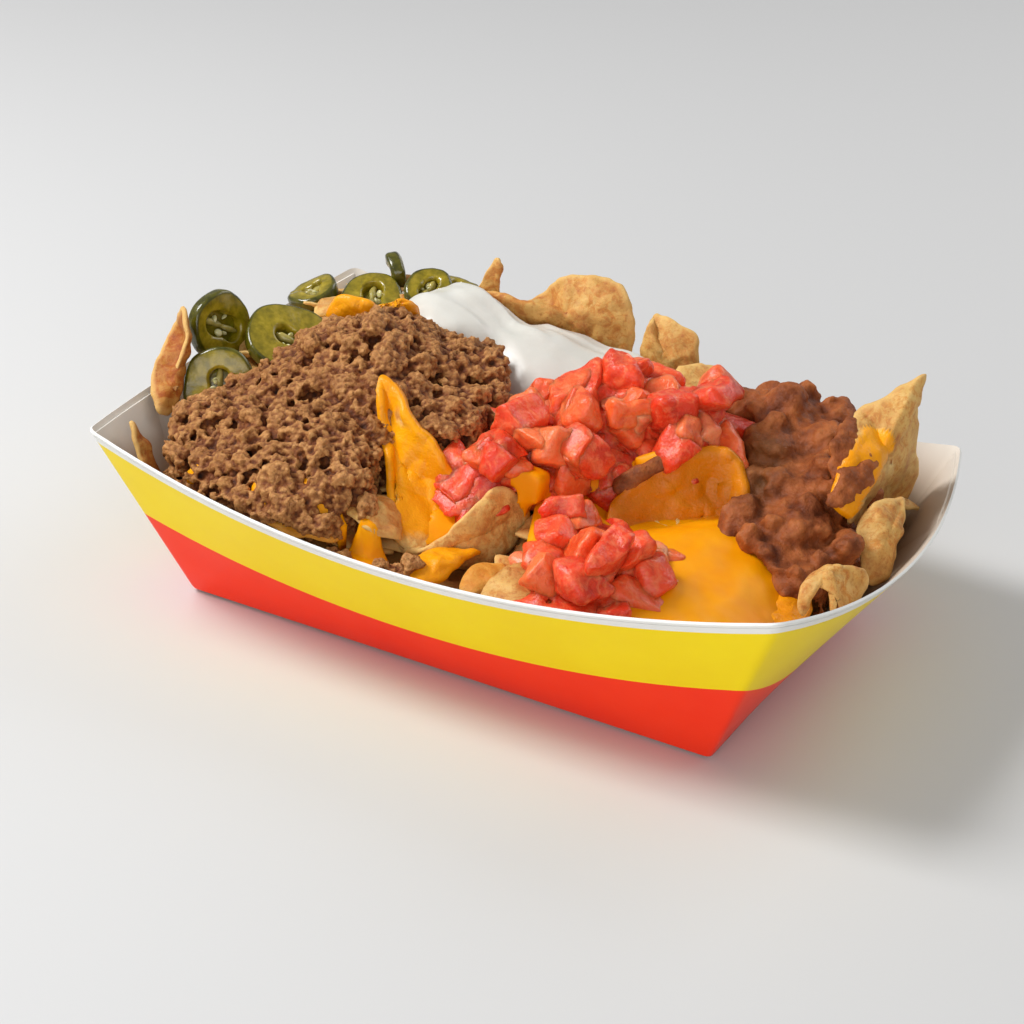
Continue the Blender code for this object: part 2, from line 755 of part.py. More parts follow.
def layer_cutter(outline, top, rest, grid, sink, skirt):
    """Room for a layer that others rest on, with the same facets as the layer and GAP above them."""
    return cutter(mound_mesh(outline, top, rest, *grid, None, sink, GAP, skirt))


def add_sheets(obj, sheets, material, segments=CHIP_SEGMENTS, rings=CHIP_RINGS):
    """Fuses chips to an object."""
    meshes = [chip_mesh(*sheet, CHIP_THICKNESS, 0, segments, rings) for sheet in sheets]
    fuse(obj, [finish_object("sheet", mesh, material, PIECES) for mesh in meshes])


def build_chips(materials):
    """Adds the chips that are pieces of their own, and returns the cutters for them."""
    cutters = []
    for name, (kind, sheets) in CHIPS.items():
        obj = finish_object(name, chip_mesh(*sheets[0], CHIP_THICKNESS), materials[kind])
        if len(sheets) > 1:
            add_sheets(obj, sheets[1:], materials[kind])
        cutters += [chip_cutter(*sheet) for sheet in sheets]
    return cutters


def build_peppers(material):
    """Adds the slices of pepper, and returns the cutters for them."""
    cutters = []
    for number, (center, facing, radius, hole) in enumerate(PEPPERS, 1):
        finish_object(f"jalapeno_{number}", pepper_mesh(center, facing, radius, hole), material)
        cutters.append(cutter(pepper_mesh(center, facing, radius, hole, GAP)))
    return cutters


def main():
    clear_scene()
    materials = {name: food_material(name, *look) for name, look in MATERIALS.items()}

    def heap(name, outline, top, rest, grid, kind, bump=None):
        return finish_object(name, mound_mesh(outline, top, rest, *grid, bump), materials[kind])

    build_tray(materials["tray_board"])
    bed = heap("chip_bed", BED_OUTLINE, bed_height, ground, BED_GRID, "corn_chip")
    beef = heap("beef", BEEF_OUTLINE, hill_top(BEEF_HILLS), bed_height, BEEF_GRID, "ground_beef", crumbs)
    cream = heap("sour_cream", CREAM_OUTLINE, hill_top(CREAM_HILLS), bed_height, CREAM_GRID, "sour_cream")
    sauce = heap("cheese_sauce", SAUCE_OUTLINE, cheese_top, bed_height, SAUCE_GRID, "cheese_sauce")
    pocket = heap("cheese_pocket", POCKET_OUTLINE, cheese_top, bed_height, POCKET_GRID, "cheese_sauce")
    beans = heap("beans", BEAN_OUTLINE, hill_top(BEAN_HILLS), cheese_top, BEAN_GRID, "refried_beans", lumps)
    core = hill_top(TOMATO_HILLS, DICE_STAND)
    tomatoes = heap("tomatoes", TOMATO_OUTLINE, core, cheese_top, TOMATO_GRID, "diced_tomato")
    core = hill_top(FRONT_HILLS, DICE_STAND)
    front = heap("tomatoes_front", FRONT_OUTLINE, core, cheese_top, FRONT_GRID, "diced_tomato")

    add_sheets(bed, BED_CHIPS, materials["corn_chip"], *BED_CHIP_GRID)
    add_sheets(sauce, [COATED_CHIP], materials["cheese_sauce"])
    add_dice(tomatoes, TOMATO_OUTLINE, TOMATO_HILLS, TOMATO_SEED, materials["diced_tomato"])
    add_dice(front, FRONT_OUTLINE, FRONT_HILLS, FRONT_SEED, materials["diced_tomato"])

    loose = build_chips(materials) + build_peppers(materials["jalapeno"])
    coated = chip_cutter(*COATED_CHIP)
    in_bed = [chip_cutter(*sheet, *BED_CHIP_GRID) for sheet in BED_CHIPS]
    on_bed = layer_cutter(BED_OUTLINE, bed_height, ground, BED_GRID, SINK, SKIRT)
    on_sauce = layer_cutter(SAUCE_OUTLINE, cheese_top, bed_height, SAUCE_GRID, ROOM_SINK, GAP)
    on_pocket = layer_cutter(POCKET_OUTLINE, cheese_top, bed_height, POCKET_GRID, ROOM_SINK, GAP)
    beef_room = heap_cutter(BEEF_OUTLINE, BEEF_HILLS, BEEF_ROOM)
    tomato_room = heap_cutter(TOMATO_OUTLINE, TOMATO_HILLS, TOMATO_ROOM)

    below = in_bed + [on_bed]
    layers = below + [on_sauce, on_pocket]
    carve(bed, loose)
    carve(sauce, loose + below)
    carve(pocket, loose + below)
    carve(beef, loose + layers)
    carve(cream, loose + [beef_room, tomato_room] + layers)
    carve(tomatoes, loose + [beef_room, coated] + layers)
    carve(front, loose + [tomato_room, coated] + layers)
    carve(beans, loose + [tomato_room, coated] + layers)
    for tool in loose + layers + [coated, beef_room, tomato_room]:
        bpy.data.objects.remove(tool)


main()
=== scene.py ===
"""Loaded nachos in a folded paperboard tray: the finish of every surface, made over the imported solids.

Shapes are worked out in millimetres and scaled to metres when a piece is finished. +X runs along the tray,
+Y points away from the long side that faces the camera, and the tray stands on z = 0.
"""

import math
import random

import bmesh
import bpy
import numpy as np
from mathutils import Matrix, Vector, noise
from mathutils.bvhtree import BVHTree


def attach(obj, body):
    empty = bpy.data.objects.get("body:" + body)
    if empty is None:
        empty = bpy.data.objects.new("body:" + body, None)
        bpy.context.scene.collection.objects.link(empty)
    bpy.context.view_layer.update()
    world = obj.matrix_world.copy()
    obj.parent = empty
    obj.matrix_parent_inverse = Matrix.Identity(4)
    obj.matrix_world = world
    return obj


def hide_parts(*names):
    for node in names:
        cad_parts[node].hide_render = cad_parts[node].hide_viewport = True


DOWN = Vector((0, 0, -1))

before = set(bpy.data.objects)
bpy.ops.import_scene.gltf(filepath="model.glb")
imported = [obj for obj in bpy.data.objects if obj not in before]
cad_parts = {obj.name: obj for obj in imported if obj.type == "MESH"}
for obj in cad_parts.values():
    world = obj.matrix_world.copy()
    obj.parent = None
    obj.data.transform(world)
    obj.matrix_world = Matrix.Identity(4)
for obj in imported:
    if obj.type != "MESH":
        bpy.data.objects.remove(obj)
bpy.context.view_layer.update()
MM = 0.001

# Without a seed of its own the noise's random directions change with the clock
noise.seed_set(1)

# The camera of the photograph, fitted to the tray's corners
CAMERA_AZIMUTH = 25.29
CAMERA_ELEVATION = 27.15
CAMERA_ROLL = 4.53
CAMERA_DISTANCE = 674.2
CAMERA_TARGET = (-5.23, 0.0, 22.82)
CAMERA_LENS = 93.22
SENSOR_WIDTH = 36.0

# Lights in metres and watts: (name, place, size, power), the place that they face, and the sky's strength
LIGHTS = (
    ("key", (-0.6, -0.25, 0.75), 0.35, 9.0),
    ("fill", (0.35, -1.0, 0.3), 0.9, 6.0),
    ("back", (0.3, 0.8, 0.6), 0.6, 2.5),
)
LIT_PLACE = Vector((0, 0, 0.03))
SKY_STRENGTH = 0.32

# The tray, as the solid has it
BASE_LENGTH = 144.0
BASE_WIDTH = 90.0
RIM_LENGTH = 181.0
RIM_WIDTH = 128.0
CORNER_HEIGHTS = (47.0, 51.0, 43.0, 48.0)
WALL_HEIGHT = 44.0
SIDE_BOW = 5.0
SIDE_DIP = 12.0
END_BOW = 10.0
END_DIP = 6.5
BOARD = 0.7
STRIP = 3.3
PRINT_SPLIT = 27.0
END_PRINT_DIP = 7.5
RIM_GROOVE = 0.9
GROOVE_HEIGHT = 0.28
GROOVE_DEPTH = 0.22
CREASE_REACH = 1.8
BASE_ROUND = 1.2
FLAP_REACH = 0.3
FLAP_DROP = 0.035
FLAP_BOARD = 0.45

# Pools of cheese sauce in plan: (x, y, half length, half width, turn in degrees, thickness)
CHEESE_POOLS = (
    (-66, -53, 2.4, 1.6, 20, 1.0),
    (-45, -56, 3.2, 2.2, 0, 1.3),
    (-41, -58, 3.0, 1.7, 30, 1.2),
    (-34, -55, 9.5, 4.4, 0, 1.0),
    (-17, -55, 6.0, 3.8, 10, 1.0),
    (-12, -60, 4.0, 2.2, -10, 0.8),
    (-19, 5, 1.1, 0.9, 0, 0.8),
)
# Smear of bean at the coated chip's rim: the way its middle bulges, then its outline
BEAN_SMEAR = (
    (0, -1, 1), (26, -9, 45), (30, -6, 48), (35, -1, 51), (38, 2, 51.5), (37, -1, 49), (33, -7, 46),
    (28, -11, 43),
)

# Places in plan where sauce shows between the tomatoes: (x, y, half length, half width)
TOMATO_BARE = ((15, -27, 7, 6), (29, -14, 7, 7), (32, -7, 6, 5.5), (38, -1, 6, 4.5))

# Least and most of a tomato die's three measures, and the draw from which one is pale
DIE_SIZE = ((9.5, 15.5), (8.5, 12.5), (6.5, 9.5))
PALE_DRAW = 0.93

# Places of loose beef crumbs in plan: (x, y, reach, count)
BEEF_BITS = (
    (-26, -60, 6.5, 50), (-20, -62, 5.0, 30), (-8, -56, 5.0, 34), (-87, -27, 3.5, 12), (-30, -50, 4.0, 16),
    (-38, -58, 7.0, 60), (-30, -59, 5.0, 34),
    (-22, -49, 4.0, 12), (-50, -62, 6.0, 20), (-14, -12, 4.0, 14),
)

# Bits of bean on the tall chip: (x, y, z, radius)
BEAN_PATCHES = (
    (77.5, 6, 48.5, 2.8), (79, 8.5, 50.3, 3.2), (80, 11.5, 51.6, 3.6), (81.2, 15.2, 53, 3.6),
    (81.8, 19, 54.2, 2.8),
    (72.5, 26, 58, 3.4), (72.5, 22, 56.5, 4.0), (71.5, 19, 53.5, 4.6), (75, 14, 52, 3.6), (73, 30, 60, 2.2),
)

# Chips by node, each of one or two sheets: the way its middle bulges, then its outline in space.
# The dish is the coated chip that the solid of the sauce carries
CHIPS = {
    "chip_left": [(
        (3, 2, 0), (-95, -17, 62), (-92, -20, 58), (-91, -22, 52), (-92, -26, 44), (-90, -29, 38),
        (-92, -32, 40), (-97, -26, 45), (-99, -19, 50), (-98, -14, 57),
    )],
    "chip_sliver": [(
        (1, 0.5, 0), (-87, -51, 45), (-84, -53, 40), (-81, -53, 34), (-76, -49, 24), (-79, -46, 24),
        (-86, -48, 38),
    )],
    "chip_back_coated": [(
        (0, -3, 1), (-65, 8, 58), (-64, 9, 63), (-61, 9, 65), (-55, 10, 65), (-51, 13, 63), (-47, 17, 64),
        (-46, 20, 60), (-48, 21, 52), (-60, 14, 51),
    )],
    "chip_fold": [
        (
            (-3, 1, -2), (-32, -22, 61), (-31, -26, 58), (-28, -29, 51), (-24, -33, 45), (-21, -37, 39),
            (-14, -44, 32), (-6, -44, 28), (-3, -34, 30), (-6, -26, 38), (-12, -27, 47), (-20, -27, 54),
            (-27, -23, 59),
        ),
        (
            (2, -3, 0), (-12, -45, 29), (-7, -45, 31), (-3, -40, 35), (0, -34, 40), (3, -29, 44),
            (6, -25, 43), (8, -20, 36), (8, -25, 28), (5, -30, 25), (-3, -38, 24), (-9, -42, 25),
        ),
    ],
    "chip_tall": [(
        (3, -4, 2), (84, 42, 70), (83, 43, 64), (87, 38, 54), (88, 41, 42), (85, 41, 32), (80, 32, 30),
        (79, 20, 34), (80, 8, 43), (76, 6, 48), (74, 18, 56), (72, 31, 61), (77, 35, 64),
    )],
    "chip_right": [(
        (2, -3, 1), (89, 21, 46), (91, 18, 44), (92, 15, 40), (92, 11, 34), (91, 7, 30), (88, 3, 31),
        (85, 5, 37), (83, 7, 42), (84, 11, 45), (86, 15, 47),
    )],
    "chip_curled": [(
        (0, -1, 5), (84, -29, 35), (82, -26, 38), (84, -24, 40), (88, -25, 41), (91, -25, 39),
        (91, -25, 34), (94, -14, 37), (94, -13, 41), (91, -16, 43), (87, -19, 43), (84, -20, 42),
        (82, -22, 38),
    )],
    "chip_wavy": [
        (
            (2, -4, 2), (-43, 48, 57), (-37, 53, 55), (-31, 59, 56), (-24, 58, 63), (-17, 60, 65),
            (-8, 60, 65), (-3, 58, 61), (0, 57, 52), (-4, 58, 40), (-20, 58, 38), (-36, 54, 42),
        ),
        (
            (1, -1, 0), (-38, 50, 67), (-40, 50, 67), (-43, 48, 59), (-42, 49, 54), (-38, 51, 54),
            (-39, 50, 60),
        ),
    ],
    "chip_back": [(
        (0, -3, 1), (3, 58, 56), (2, 62, 57), (4, 63, 58), (10, 61, 58), (16, 61, 55), (18, 57, 46),
        (16, 58, 38), (6, 59, 37), (2, 58, 46),
    )],
    "dish": [(
        (4, 5, -6), (30, -17, 35), (28, -12, 41), (30, -8, 45), (33, -3, 48), (37, 2, 50.5), (44, 8, 51.5),
        (50, 10, 50), (54, 7, 43), (57, -2, 36), (49, -12, 32), (40, -18, 32),
    )],
}

CHIP_THICKNESS = 1.4
BED_CHIP_THICKNESS = 1.5
BROKEN_THICKNESS = 1.3
SMEAR_THICKNESS = 1.3

# How dark a chip is drawn: partly toast, with the left chip darker as painted shade and the folded chip paler
# as painted light
CHIP_TONES = {"chip_left": 0.9, "chip_sliver": 0.8, "chip_fold": 0.0, "chip_tall": 0.2}

USUAL_TONE = 0.35

# Places in plan that no loose chip covers: (x, y, half length, half width)
CLEAR_OF_CHIPS = ((2, -36, 12, 9), (-22, -55, 26, 9), (16, -52, 16, 10), (90, 20, 12, 14))

# The heap's core lies lower than its solid by this much and its half hidden chips lie higher, and no broken
# chip lies lower than a height
BED_SHIFT = np.array((0, 0, 0.6))
LOWEST_BROKEN = 24

# Half hidden chips of the heap: share of sauce, the way the middle bulges, then the outline
BED_CHIPS = (
    (
        0, (1, -2, 2), (-28, -48, 38), (-19, -52, 36), (-12, -48, 32), (-16, -39, 34), (-20, -36, 37),
        (-25, -42, 39),
    ),
    (
        1, (0, -1, 2), (-5, -57, 30), (0, -59, 29), (3, -52, 29), (5, -43, 31), (5, -38, 31),
        (-2, -40, 30), (-6, -46, 30),
    ),
    (
        0.35, (0, -1, 1.5), (7, -53, 30), (8, -46, 31), (13, -41, 31), (16, -45, 30), (15, -52, 29),
        (12, -56, 29),
    ),
    (
        0, (0, -1, 1.5), (17, -59, 31), (15, -51, 32), (16, -45, 33), (20, -42, 34), (26, -46, 34),
        (27, -58, 33),
    ),
    (
        0.6, (0, -1, 1.5), (-47, -56, 35), (-42, -51, 37), (-33, -49, 37), (-26, -49, 35), (-24, -57, 33),
        (-33, -60, 33), (-42, -61, 34),
    ),
    (
        0, (0, -2, 1), (23, 51, 47), (25, 55, 47), (30, 55, 45), (32, 50, 43), (30, 46, 36), (23, 47, 36),
    ),
    (
        1, (0, 0, 1), (69, -36, 24), (76, -36, 24), (80, -30, 25), (82, -18, 28), (80, -11, 31),
        (75, -14, 31), (69, -26, 28),
    ),
)


def linear(*color):
    """A linear colour from one of 0 to 255 as a picture stores it."""
    shares = [c / 255 for c in color]
    return tuple(c / 12.92 if c < 0.0404 else ((c + 0.055) / 1.055) ** 2.4 for c in shares)


# Meshes as arrays of points and faces, in millimetres


def node_arrays(name):
    """Points and triangles of a solid of the frame, with the points that meet made one."""
    points, faces = arrays_of(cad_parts[name].data)
    points, index = np.unique(np.round(points / MM, 3), axis=0, return_inverse=True)
    return points, index.reshape(-1)[faces]


def joined(parts):
    """One pair of arrays from several."""
    points = []
    faces = []
    count = 0
    for part_points, part_faces in parts:
        points.append(part_points)
        faces.append(part_faces + count)
        count += len(part_points)
    return np.concatenate(points), np.concatenate(faces)


def mesh_of(name, points, faces):
    mesh = bpy.data.meshes.new(name)
    mesh.from_pydata(points.tolist(), [], faces.tolist())
    mesh.update()
    return mesh


def arrays_of(mesh):
    """Points and triangles of a mesh."""
    mesh.calc_loop_triangles()
    points = np.empty(len(mesh.vertices) * 3)
    mesh.vertices.foreach_get("co", points)
    faces = np.empty(len(mesh.loop_triangles) * 3, np.int64)
    mesh.loop_triangles.foreach_get("vertices", faces)
    return points.reshape(-1, 3), faces.reshape(-1, 3)


def placed(name, data):
    """A new object in the scene."""
    obj = bpy.data.objects.new(name, data)
    bpy.context.scene.collection.objects.link(obj)
    return obj


def voxel_skin(points, faces, size):
    """One closed skin of even facets round overlapping shapes."""
    obj = placed("skin", mesh_of("skin", points, faces))
    remesh = obj.modifiers.new("remesh", "REMESH")
    remesh.mode = "VOXEL"
    remesh.voxel_size = size
    graph = bpy.context.evaluated_depsgraph_get()
    mesh = bpy.data.meshes.new_from_object(obj.evaluated_get(graph))
    bpy.data.objects.remove(obj)
    return mesh


def points_of(mesh):
    points = np.empty(len(mesh.vertices) * 3)
    mesh.vertices.foreach_get("co", points)
    return points.reshape(-1, 3)


def normals_of(mesh):
    normals = np.empty(len(mesh.vertices) * 3)
    mesh.vertices.foreach_get("normal", normals)
    return normals.reshape(-1, 3)


def set_points(mesh, points):
    mesh.vertices.foreach_set("co", np.ascontiguousarray(points).ravel())
    mesh.update()


def edges_of(mesh):
    edges = np.empty(len(mesh.edges) * 2, np.int64)
    mesh.edges.foreach_get("vertices", edges)
    return edges.reshape(-1, 2)


def smoothed(values, edges, rounds):
    """Values on the vertices, each drawn half way to the mean of its neighbours, so many rounds."""
    count = len(values)
    degree = np.bincount(edges.ravel(), minlength=count).astype(float)
    degree[degree == 0] = 1
    columns = values.reshape(count, -1).copy()
    for _ in range(rounds):
        for k in range(columns.shape[1]):
            total = np.bincount(edges[:, 0], columns[edges[:, 1], k], count)
            total += np.bincount(edges[:, 1], columns[edges[:, 0], k], count)
            columns[:, k] += 0.5 * (total / degree - columns[:, k])
    return columns.reshape(values.shape)


def smooth_mesh(mesh, rounds):
    set_points(mesh, smoothed(points_of(mesh), edges_of(mesh), rounds))


def add_shares(mesh, **shares):
    """Stores values on the vertices for the materials, each the same all over or one for each vertex."""
    for name, values in shares.items():
        attribute = mesh.attributes.new(name, "FLOAT", "POINT")
        values = np.broadcast_to(values, len(mesh.vertices))
        attribute.data.foreach_set("value", np.array(values, np.float32))


def add_relief(mesh, rounds, reach):
    """Stores how far each vertex stands out of the smoothed surface: 0 in creases, 1 on bumps. The materials
    darken the low values as painted shade.
    """
    points = points_of(mesh)
    flat = smoothed(points, edges_of(mesh), rounds)
    out = ((points - flat) * normals_of(mesh)).sum(axis=1)
    add_shares(mesh, relief=np.clip(0.5 + out / (2 * reach), 0, 1))


def noise_places(points, size, seed):
    """Where the noise is read for each point, so that its grains measure about size."""
    shift = Vector((seed * 7.3, seed * 3.1, seed * 5.7))
    return (Vector(p) / size + shift for p in points)


def noise_at(points, size, seed=0.0):
    """Smooth noise from -1 to 1 at each point."""
    return np.array([noise.noise(p) for p in noise_places(points, size, seed)])


def shake_at(points, size, seed=0.0):
    """A smooth random direction at each point, no longer than about 1."""
    return np.array([noise.noise_vector(p)[:] for p in noise_places(points, size, seed)])


def cells_at(points, size, seed=0.0):
    """0 in the creases between rounded cells and 1 on the middle of each cell."""
    nearest = np.array([noise.voronoi(p)[0][:2] for p in noise_places(points, size, seed)])
    return np.clip((nearest[:, 1] - nearest[:, 0]) * 1.6, 0, 1)


def push(mesh, amounts):
    """Moves each vertex along its normal."""
    set_points(mesh, points_of(mesh) + normals_of(mesh) * amounts[:, None])


def drawn_in(name, depth):
    """A solid of the frame, smaller by a depth all round."""
    points, faces = node_arrays(name)
    mesh = mesh_of("drawn", points, faces)
    points = points - normals_of(mesh) * depth
    bpy.data.meshes.remove(mesh)
    return points, faces


def finish_piece(name, mesh, materials, replaced):
    """A piece of the scene in metres from a mesh in millimetres."""
    set_points(mesh, points_of(mesh) * MM)
    mesh.name = name
    for material in materials:
        mesh.materials.append(material)
    mesh.shade_smooth()
    obj = placed(name, mesh)
    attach(obj, "root")
    if replaced:
        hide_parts(*replaced)


# Small shapes that are scattered


def ball(rounds=2):
    """Points and faces of a round grain of radius 1."""
    bm = bmesh.new()
    bmesh.ops.create_icosphere(bm, subdivisions=rounds, radius=1.0)
    return taken_from(bm)


def taken_from(bm):
    """Points and faces of a bmesh, which is freed."""
    points = np.array([v.co[:] for v in bm.verts])
    faces = np.array([[v.index for v in f.verts] for f in bm.faces])
    bm.free()
    return points, faces


def random_way(rng):
    return Vector([rng.uniform(-1, 1) for _ in range(3)]).normalized()


def turned(rng, tilt=math.pi):
    """A random turn as a 3 by 3 array."""
    axis = random_way(rng)
    return np.array(Matrix.Rotation(rng.uniform(-tilt, tilt), 3, axis))


def upright_to(normal):
    """The turn from straight up to a surface's normal, as a 3 by 3 array."""
    return np.array(Vector((0, 0, 1)).rotation_difference(Vector(normal)).to_matrix())


def in_ellipse(points, x, y, half_length, half_width, limit=1.0):
    """Whether places lie within an ellipse in plan, or within the square root of the limit times its size."""
    return ((points[..., 0] - x) / half_length) ** 2 + ((points[..., 1] - y) / half_width) ** 2 < limit


def surface_points(name, spacing, rng, lowest_normal=0.0):
    """Places spread over the upper surface of a solid, no two nearer than the spacing, with their normals."""
    points, faces = node_arrays(name)
    a, b, c = (points[faces[:, k]] for k in range(3))
    cross = np.cross(b - a, c - a)
    area = np.linalg.norm(cross, axis=1) / 2
    normal = cross / np.maximum(2 * area[:, None], 1e-9)
    area = np.where(normal[:, 2] >= lowest_normal, area, 0)
    tries = int(area.sum() / spacing**2 * 6)
    draw = np.random.default_rng(rng.randrange(1 << 30))
    chosen = draw.choice(len(faces), tries, p=area / area.sum())
    u, v = draw.random((2, tries, 1))
    turn = u + v > 1
    u, v = np.where(turn, 1 - u, u), np.where(turn, 1 - v, v)
    at = a[chosen] + (b[chosen] - a[chosen]) * u + (c[chosen] - a[chosen]) * v
    cells = {}
    kept = []
    for p, n in zip(at, normal[chosen]):
        key = tuple((p // spacing).astype(int))
        near = [
            q
            for i in (-1, 0, 1)
            for j in (-1, 0, 1)
            for k in (-1, 0, 1)
            for q in cells.get((key[0] + i, key[1] + j, key[2] + k), ())
        ]
        if all(np.sum((p - q) ** 2) >= spacing**2 for q in near):
            cells.setdefault(key, []).append(p)
            kept.append((p, n))
    return kept


def uneven_balls(count, depth, rng, rounds=2):
    """Grains of radius about 1, each with dents of its own, and the faces that they share."""
    points, faces = ball(rounds)
    shapes = []
    for _ in range(count):
        shapes.append(points * (1 + depth * noise_at(points, 0.8, rng.uniform(0, 60)))[:, None])
    return shapes, faces


def grains(places, radius, lift, shapes, faces, rng, spread=0.35, flatness=0.85):
    """Uneven grains at the given places, each sunk or lifted along the surface's normal."""
    parts = []
    for p, n in places:
        r = radius * rng.uniform(1 - spread, 1 + spread)
        size = np.array((r * rng.uniform(0.75, 1.3), r * rng.uniform(0.75, 1.3), r * flatness))
        shape = (rng.choice(shapes) * size) @ turned(rng).T + p + n * lift * r
        if inside_tray(shape, 1.6):
            parts.append((shape, faces))
    return parts


def tree_of(names, *more):
    """The surfaces of some solids and other shapes, to drop things onto."""
    points, faces = joined([*(node_arrays(name) for name in names), *more])
    return BVHTree.FromPolygons(points.tolist(), faces.tolist())


def ground(tree, x, y):
    """Height of the topmost surface at a place in plan, or None beside it."""
    hit = tree.ray_cast(Vector((x, y, 120)), DOWN)
    return None if hit[0] is None else hit[0].z


def drape(tree, x, y, long, wide, turn, thickness, seed):
    """A flat pool of sauce that lies on whatever is below and bridges its steps, with an uneven outline."""
    rings, around = 10, 44
    c, s = math.cos(math.radians(turn)), math.sin(math.radians(turn))
    plan = np.empty((rings + 1, around, 2))
    rest = np.empty((rings + 1, around))
    start = ground(tree, x, y) or 30.0
    for k in range(around):
        a = 2 * math.pi * k / around
        way = Vector((math.cos(a) * 1.6, math.sin(a) * 1.6, seed * 3.7))
        edge = 1 + 0.32 * noise.noise(way) + 0.12 * noise.noise(way * 2.7)
        last = (x, y, start)
        for ring in range(rings + 1):
            reach = ring / rings * edge
            u, v = long * reach * math.cos(a), wide * reach * math.sin(a)
            px, py = x + u * c - v * s, y + u * s + v * c
            z = ground(tree, px, py)
            if z is not None and inside_tray(np.array([(px, py, z)]), 2.0):
                last = (px, py, z)
            plan[ring, k] = last[:2]
            rest[ring, k] = last[2]
    top = rest.copy()
    for _ in range(14):
        mean = (np.roll(top, 1, 1) + np.roll(top, -1, 1)) / 2
        mean[1:-1] = (mean[1:-1] * 2 + top[:-2] + top[2:]) / 4
        mean[-1] = (mean[-1] + top[-2]) / 2
        mean[0] = top[1].mean()
        top = np.maximum(rest, mean)
    share = np.arange(rings + 1)[:, None] / rings
    upper = np.dstack([plan, top + thickness * np.sqrt(1 - share**3) - 0.2]).reshape(-1, 3)
    lower = np.dstack([plan, np.minimum(rest, top) - 1.0]).reshape(-1, 3)
    return two_sided(upper, lower, rings, around)


def ring_faces(rings, around):
    """Faces between rings of points, from the middle outwards."""
    faces = []
    for ring in range(rings):
        for k in range(around):
            a, b = ring * around + k, ring * around + (k + 1) % around
            faces += [(a, a + around, b + around), (a, b + around, b)]
    return np.array(faces)


def two_sided(upper, lower, rings, around):
    """A closed thin shape from the points of its two sides, each in rings."""
    count = len(upper)
    faces = ring_faces(rings, around)
    wall = []
    for k in range(around):
        a, b = rings * around + k, rings * around + (k + 1) % around
        wall += [(a, a + count, b + count), (a, b + count, b)]
    return np.concatenate([upper, lower]), np.concatenate([faces, faces[:, ::-1] + count, wall])


# Materials


class Nodes:
    """Short names for building a material's nodes."""

    def __init__(self, name):
        self.material = bpy.data.materials.new(name)
        self.material.use_nodes = True
        self.tree = self.material.node_tree
        self.shader = self.tree.nodes["Principled BSDF"]
        self.place = self.tree.nodes.new("ShaderNodeTexCoord").outputs["Object"]

    def link(self, source, target):
        self.tree.links.new(source, target)

    def noise(self, size, detail=4.0, roughness=0.55, distortion=0.0):
        """Noise whose grains measure about size in millimetres."""
        node = self.tree.nodes.new("ShaderNodeTexNoise")
        self.link(self.place, node.inputs["Vector"])
        node.inputs["Scale"].default_value = 1 / (size * MM)
        node.inputs["Detail"].default_value = detail
        node.inputs["Roughness"].default_value = roughness
        node.inputs["Distortion"].default_value = distortion
        return node.outputs["Fac"]

    def cells(self, size):
        """Rounded cells that measure about size in millimetres."""
        node = self.tree.nodes.new("ShaderNodeTexVoronoi")
        self.link(self.place, node.inputs["Vector"])
        node.inputs["Scale"].default_value = 1 / (size * MM)
        return node.outputs["Distance"]

    def attribute(self, name):
        node = self.tree.nodes.new("ShaderNodeAttribute")
        node.attribute_name = name
        return node.outputs["Fac"]

    def ramp(self, source, *stops):
        """Colours of 0 to 255, or values, at places from 0 to 1, each given as (place, *colour)."""
        node = self.tree.nodes.new("ShaderNodeValToRGB")
        self.link(source, node.inputs["Fac"])
        ramp = node.color_ramp
        while len(ramp.elements) > 1:
            ramp.elements.remove(ramp.elements[-1])
        for i, (at, *value) in enumerate(stops):
            element = ramp.elements[0] if i == 0 else ramp.elements.new(at)
            element.position = at
            color = linear(*value) if len(value) == 3 else value * 3
            element.color = (*color, 1.0)
        return node.outputs["Color"]

    def mix(self, share, a, b, kind="MIX"):
        """Colour a where the share is 0 and b where it is 1."""
        node = self.tree.nodes.new("ShaderNodeMix")
        node.data_type = "RGBA"
        node.blend_type = kind
        for value, socket in zip((share, a, b), (node.inputs[0], node.inputs[6], node.inputs[7])):
            if isinstance(value, bpy.types.NodeSocket):
                self.link(value, socket)
            elif isinstance(value, tuple):
                socket.default_value = (*value, 1.0)
            else:
                socket.default_value = value
        return node.outputs[2]

    def bump(self, *layers):
        """Relief from heights, each given with its depth in millimetres."""
        before = None
        for height, depth in layers:
            node = self.tree.nodes.new("ShaderNodeBump")
            node.inputs["Distance"].default_value = depth * MM
            self.link(height, node.inputs["Height"])
            if before is not None:
                self.link(before, node.inputs["Normal"])
            before = node.outputs["Normal"]
        self.link(before, self.shader.inputs["Normal"])

    def color(self, source):
        self.link(source, self.shader.inputs["Base Color"])

    def set(self, **values):
        for name, value in values.items():
            self.shader.inputs[name.replace("_", " ").title().replace("Ior", "IOR")].default_value = value

    def subsurface(self, weight, scale, radius):
        self.set(subsurface_weight=weight, subsurface_scale=scale * MM, subsurface_radius=radius)


def beef_material():
    n = Nodes("beef_look")
    tone = n.ramp(n.noise(1.3, 5), (0.3, 128, 78, 36), (0.5, 176, 120, 66), (0.7, 214, 160, 98))
    patch = n.ramp(n.noise(9, 2), (0.4, 146, 92, 44), (0.6, 194, 138, 80))
    body = n.mix(0.35, tone, patch)
    relief = n.attribute("relief")
    # Painted shade: the crevices between crumbs are darkened where the relief share is low
    crease = n.ramp(relief, (0.2, 48, 26, 14), (0.42, 168, 130, 98), (0.58, 1.0))
    n.color(n.mix(1.0, body, crease, "MULTIPLY"))
    n.set(roughness=0.6, specular_ior_level=0.3)
    n.bump((n.noise(0.6, 3), 0.5), (n.cells(1.3), 0.42))
    n.subsurface(0.06, 1.0, (1.0, 0.4, 0.2))
    return n.material


